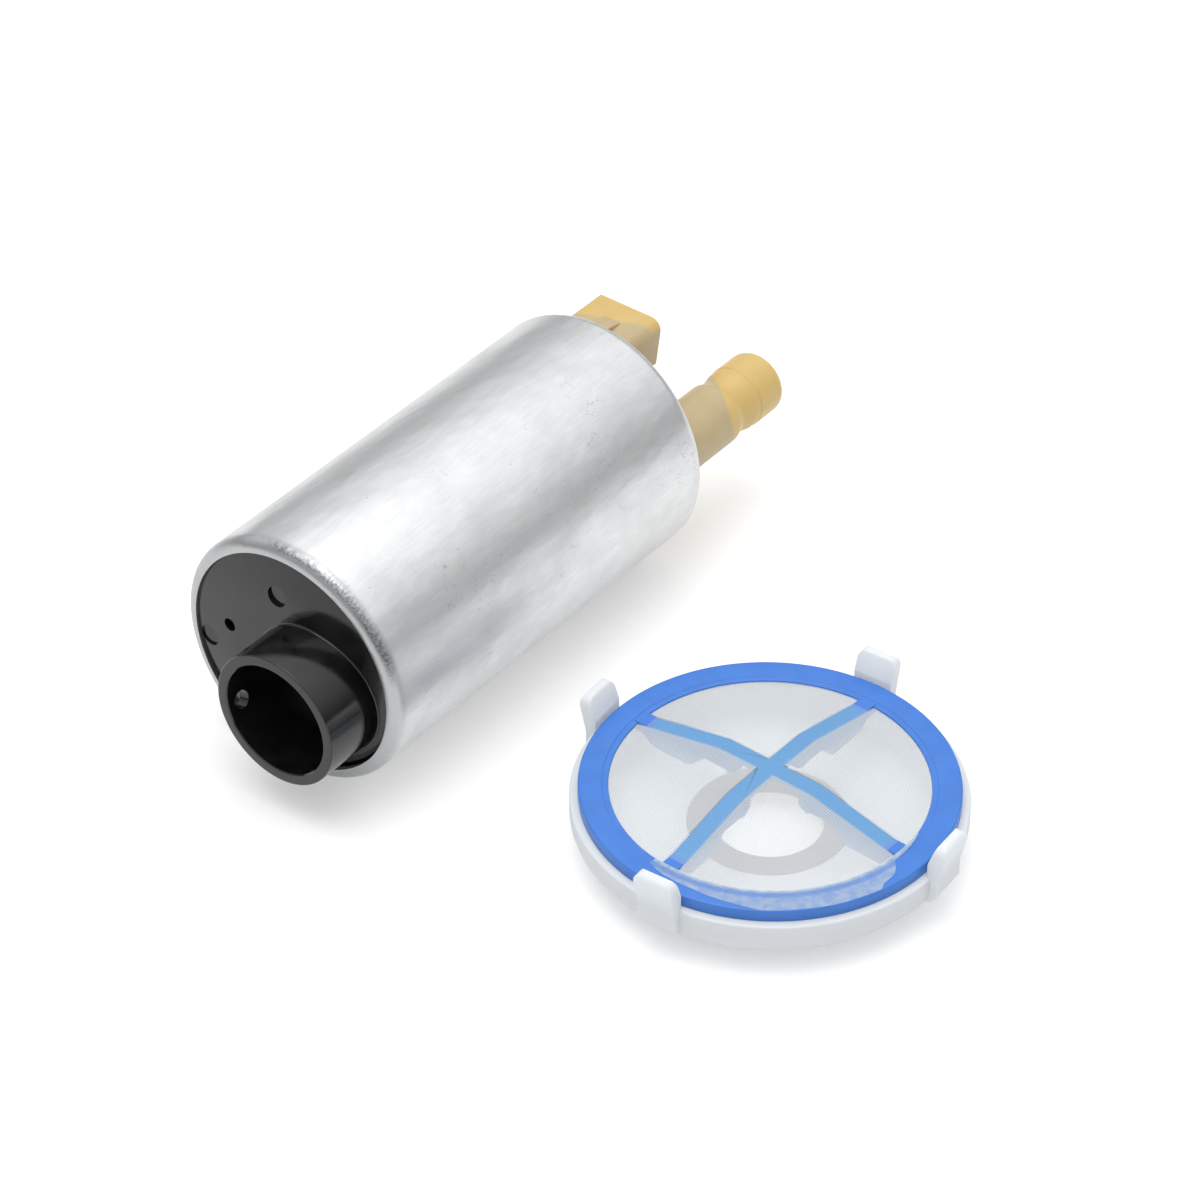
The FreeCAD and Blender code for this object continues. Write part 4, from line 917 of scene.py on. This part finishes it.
def strainer_frame():
    """Ring with the raised cross that carries the cloth."""
    ring = spun("strainer_frame_moulding", rounded_outline([
        (ring_base_z, ring_inner_radius + 1.5, 0),
        (ring_base_z, ring_outer_radius, 0.15),
        (ring_top_z, ring_outer_radius, 0.3),
        (ring_top_z, ring_inner_radius + 0.9, 0.05),
        (ring_top_z - ring_band_step, ring_inner_radius + ring_band_width, 0.05),
        (ring_top_z - ring_band_step, ring_inner_radius, 0.12),
        (ring_top_z - 0.55, ring_inner_radius, 0)], 4), False, steps=256)
    arms = [arm(90 * index) for index in range(4)]
    return laid(combined(ring, arms, "UNION"), dish_turn + frame_turn)


def cloth_heights(reach, pitch):
    """Heights of cloth stretched over the cross and held at the ring, on a square grid."""
    count = int(2 * reach / pitch) + 1
    line = np.linspace(-reach, reach, count)
    x, y = np.meshgrid(line, line, indexing="ij")
    radius = np.hypot(x, y)
    along = np.maximum(np.abs(x), np.abs(y))
    across = np.minimum(np.abs(x), np.abs(y))
    run = ring_inner_radius - plateau_radius
    carried = arm_rise * (1 - np.clip(along - plateau_radius, 0, None) / run)
    on_arm = (across <= arm_width / 2) & (radius < reach)
    outside = radius >= reach - pitch / 2
    height = np.where(on_arm, carried, 0.0)
    rounds = 1500
    for _ in range(rounds):
        spread = height.copy()
        spread[1:-1, 1:-1] = (height[2:, 1:-1] + height[:-2, 1:-1]
                              + height[1:-1, 2:] + height[1:-1, :-2]) / 4
        height = np.where(on_arm, carried, np.where(outside, 0.0, spread))
    return line, height


def gauze():
    """Filter cloth over the cross, its edge lying ragged over the ring at the front."""
    reach = ring_inner_radius - ring_gap
    pitch = 0.35
    line, height = cloth_heights(reach, pitch)
    rise = 0.12

    def lift(px, py):
        """Height of the cloth at a place, between the four nearest points of the grid."""
        fx = min(max((px - line[0]) / (line[1] - line[0]), 0), len(line) - 1.001)
        fy = min(max((py - line[0]) / (line[1] - line[0]), 0), len(line) - 1.001)
        i, j = int(fx), int(fy)
        u, v = fx - i, fy - j
        return (height[i, j] * (1 - u) * (1 - v) + height[i + 1, j] * u * (1 - v)
                + height[i, j + 1] * (1 - u) * v + height[i + 1, j + 1] * u * v)

    bm = bmesh.new()
    around = 360
    out = 62
    rings = []
    for step in range(1, out + 1):
        radius = reach * step / out
        ring = []
        for index in range(around):
            turn = 2 * math.pi * index / around
            px, py = radius * math.cos(turn), radius * math.sin(turn)
            ring.append(bm.verts.new((px, py, cloth_base_z + rise + lift(px, py))))
        rings.append(ring)
    centre = bm.verts.new((0, 0, cloth_base_z + rise + lift(0, 0)))
    for index in range(around):
        follow = (index + 1) % around
        bm.faces.new((centre, rings[0][index], rings[0][follow]))
        for inner, outer in zip(rings, rings[1:]):
            bm.faces.new((inner[index], outer[index], outer[follow], inner[follow]))
    overlap_edge(bm, rings[-1], around)
    return laid(shown("filter_gauze", bm), dish_turn + frame_turn)


def overlap_edge(bm, rim, around):
    """Cloth that runs up the ring's inside and out over its top at the front, cut unevenly."""
    top = ring_top_z + 0.06
    inset = 0.02
    smoothing = 9
    rng = np.random.default_rng(5)
    rough = rng.normal(0, 0.5, around + smoothing - 1)
    ragged = np.convolve(rough, np.ones(smoothing) / smoothing, "valid")[:around]
    strips = {}
    for index in range(around):
        # Turns from -200 to 160, so that the overlap lies in one unbroken run
        place = (360 * index / around + dish_turn + frame_turn + 200) % 360 - 200
        edge = float(np.interp(place, overlap_turns, overlap_reach, left=0, right=0))
        edge += 0.25 * ragged[index]
        edge = min(edge, ring_outer_radius - 0.1)
        if edge < ring_inner_radius:
            continue
        turn = 2 * math.pi * index / around
        way = Vector((math.cos(turn), math.sin(turn), 0))
        column = [rim[index]]
        for share in (0, 0.2, 0.4, 0.6, 0.8, 1.0):
            radius = ring_inner_radius - inset + (edge - ring_inner_radius + inset) * share
            column.append(bm.verts.new(way * radius + Vector((0, 0, top))))
        strips[index] = column
    for index, column in strips.items():
        after = strips.get((index + 1) % around)
        if after is None:
            continue
        for step in range(len(column) - 1):
            bm.faces.new((column[step], column[step + 1], after[step + 1], after[step]))


def coil(name, wire, turns, low, high):
    """Compression spring along X that fills a box, of round wire, half a turn flat at each end."""
    steps = 24
    sides = 8
    radius = (high.y - low.y - wire) / 2
    middle = (low + high) / 2
    bm = bmesh.new()
    rings = []
    for index in range(turns * steps + 1):
        turn = index / steps
        climb = min(max((turn - 0.5) / (turns - 1), 0), 1)
        x = low.x + wire / 2 + (high.x - low.x - wire) * climb
        outward = Vector((0, math.cos(2 * math.pi * turn), math.sin(2 * math.pi * turn)))
        centre = Vector((x, middle.y, middle.z)) + radius * outward
        ring = []
        for side in range(sides):
            around = 2 * math.pi * side / sides
            rim = math.cos(around) * outward + Vector((math.sin(around), 0, 0))
            ring.append(bm.verts.new(centre + wire / 2 * rim))
        rings.append(ring)
    for ring, after in zip(rings, rings[1:]):
        for side in range(sides):
            follow = (side + 1) % sides
            bm.faces.new((ring[side], ring[follow], after[follow], after[side]))
    bm.faces.new(rings[0][::-1])
    bm.faces.new(rings[-1])
    return shown(name, bm)


def springs():
    """The four coil springs, each wound to fill its CAD node's box and riding on the pump body."""
    wire_finish = surface("spring_wire_drawn", "a9aaad", 1.0, 0.3, 0.2, 0.002)
    for node, joint, wire, turns in (
            ("check_valve_spring", "check_valve_lift", 0.4, 5),
            ("relief_valve_spring", "relief_valve_lift", 0.3, 2),
            ("brush_spring_a", "brush_a_slide", 0.35, 4),
            ("brush_spring_b", "brush_b_slide", 0.35, 4)):
        low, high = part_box(node)
        wound = coil(node + "_coil", wire, turns, low / MM, high / MM)
        spring = dressed(wound, wire_finish, "pump_body", node)
        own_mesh(spring)


def finish_inner_pieces():
    """Gives every CAD node that stays its real finish."""
    ground = surface("steel_ground", "b9babd", 1.0, 0.22, 0.3, 0.002)
    rolled = surface("steel_rolled", "8d8f93", 1.0, 0.4, 0.6, 0.005)
    bronze = surface("bronze_sintered", "a07a4c", 1.0, 0.5, 0.15, 0.01)
    ferrite = surface("ferrite_pressed", "333437", 0.0, 0.55, 0.4, 0.01)
    copper_wire = surface("copper_enamelled", "b3623a", 1.0, 0.3, 0.4, 0.05)
    copper = surface("copper_turned", "c98a5c", 1.0, 0.28, 0.3, 0.002)
    carbon = surface("carbon_pressed", "2a2a2b", 0.0, 0.7, 0.2, 0.01)
    brass = surface("brass_stamped", "c8a95e", 1.0, 0.3, 0.5, 0.003)
    tin = surface("brass_tinned", "c9c6b8", 1.0, 0.32, 0.5, 0.003)
    phenolic = surface("phenolic_moulded", "3b2a20", 0.0, 0.5, 0.3, 0.01)
    nylon = surface("acetal_natural_moulded", "e2ddd0", 0.0, 0.4, 0.5, 0.005)
    nitrile = surface("nitrile_moulded", "151516", 0.0, 0.6, 0.3, 0.01)
    finishes = {
        ground: ("rotor_shaft", "relief_valve_ball"),
        rolled: ("flux_ring", "armature_core", "magnet_clip_a", "magnet_clip_b"),
        bronze: ("front_bearing", "rear_bearing"),
        ferrite: ("magnet_a", "magnet_b"),
        copper_wire: ("armature_windings", "choke_a", "choke_b"),
        copper: ("commutator_bars",),
        carbon: ("brush_a", "brush_b"),
        brass: ("brush_cap_a", "brush_cap_b", "check_valve_seat", "relief_valve_cap"),
        tin: ("terminal_positive", "terminal_negative"),
        phenolic: ("chamber_housing", "impeller", "commutator_hub"),
        nylon: ("check_valve_plunger", "thrust_pad"),
        nitrile: ("outlet_o_ring",),
    }
    for material, names in finishes.items():
        for name in names:
            nodes[name].data.materials.clear()
            nodes[name].data.materials.append(material)


def studio_world():
    """White studio tent: dim round the horizon and bright overhead."""
    world = bpy.data.worlds.new("studio")
    world.use_nodes = True
    tree = world.node_tree
    background = tree.nodes["Background"]
    way = add(tree, "ShaderNodeTexCoord").outputs["Generated"]
    height = add(tree, "ShaderNodeSeparateXYZ", {"Vector": way}).outputs["Z"]
    tree.links.new(ranged(tree, height, 0.06, 0.8, 0.2, 1.4), background.inputs["Strength"])
    background.inputs["Color"].default_value = (1, 1, 1, 1)
    return world


def soft_box(name, place, size, power):
    """Soft light aimed at the middle of the set."""
    lamp = bpy.data.lights.new(name, "AREA")
    lamp.shape = "RECTANGLE"
    lamp.size, lamp.size_y = size
    lamp.energy = power
    lamp_object = bpy.data.objects.new(name, lamp)
    lamp_object.location = place
    lamp_object.rotation_euler = (-Vector(place)).to_track_quat("-Z", "Y").to_euler()
    bpy.context.scene.collection.objects.link(lamp_object)


def set_studio():
    """Pale light table, world, soft box and the photograph's camera."""
    scene = bpy.context.scene
    scene.view_settings.view_transform = "Standard"
    floor = bpy.data.meshes.new("floor")
    reach = 3.0
    floor_gap = 0.02
    corners = [(-reach, -reach), (reach, -reach), (reach, reach), (-reach, reach)]
    floor.from_pydata([(x, y, (floor_z - floor_gap) * MM) for x, y in corners], [], [(0, 1, 2, 3)])
    floor_object = bpy.data.objects.new("floor", floor)
    scene.collection.objects.link(floor_object)
    table, tree, shader, place = new_material("acrylic_opal_backlit")
    tone = add(tree, "ShaderNodeTexNoise", {"Vector": place, "Scale": 0.004})
    white = mixed(tree, tone.outputs["Fac"], spot("d2d2d2"), spot("d6d6d6"))
    tree.links.new(white, shader.inputs["Base Color"])
    shader.inputs["Roughness"].default_value = 0.9
    shader.inputs["Specular IOR Level"].default_value = 0.0
    shader.inputs["Emission Color"].default_value = spot("ffffff")
    shader.inputs["Emission Strength"].default_value = 0.3
    floor.materials.append(table)

    scene.world = studio_world()
    soft_box("box_above", (-0.1, 0.05, 1.1), (0.9, 0.9), 6.0)

    camera = bpy.data.cameras.new("camera")
    camera.lens = 144.63
    camera.sensor_width = 36
    camera_object = bpy.data.objects.new("camera", camera)
    stand = Vector((-411.69, -347.79, 414.26)) * MM
    target = Vector((21.43, -10.13, -19.0)) * MM
    camera_object.location = stand
    camera_object.rotation_euler = (target - stand).to_track_quat("-Z", "Y").to_euler()
    scene.collection.objects.link(camera_object)
    scene.camera = camera_object


def main():
    """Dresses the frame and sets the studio."""
    dressed(casing(), brushed_aluminium(), "pump_body", "casing_tube")
    dressed(inlet_cover(), moulded_black_pps(), "pump_body", "inlet_cover")
    dressed(outlet_cover(), moulded_natural_nylon(), "pump_body", "outlet_cover")
    dressed(strainer_dish(), moulded_clear_polypropylene(), "strainer", "strainer_dish")
    ring = dressed(strainer_frame(), moulded_blue_acetal(), "strainer", "strainer_frame")
    # The photographed casing has no blue in it, so the ring stays out of the mirror images
    ring.visible_glossy = False
    grey_rubber = surface("rubber_grey_moulded", "7f8387", 0.0, 0.6, 0.4, 0.01)
    dressed(strainer_seal(), grey_rubber, "strainer", "strainer_seal")
    cloth = dressed(gauze(), woven_nylon_gauze(), "strainer", "strainer_mesh")
    springs()
    finish_inner_pieces()
    set_studio()


main()
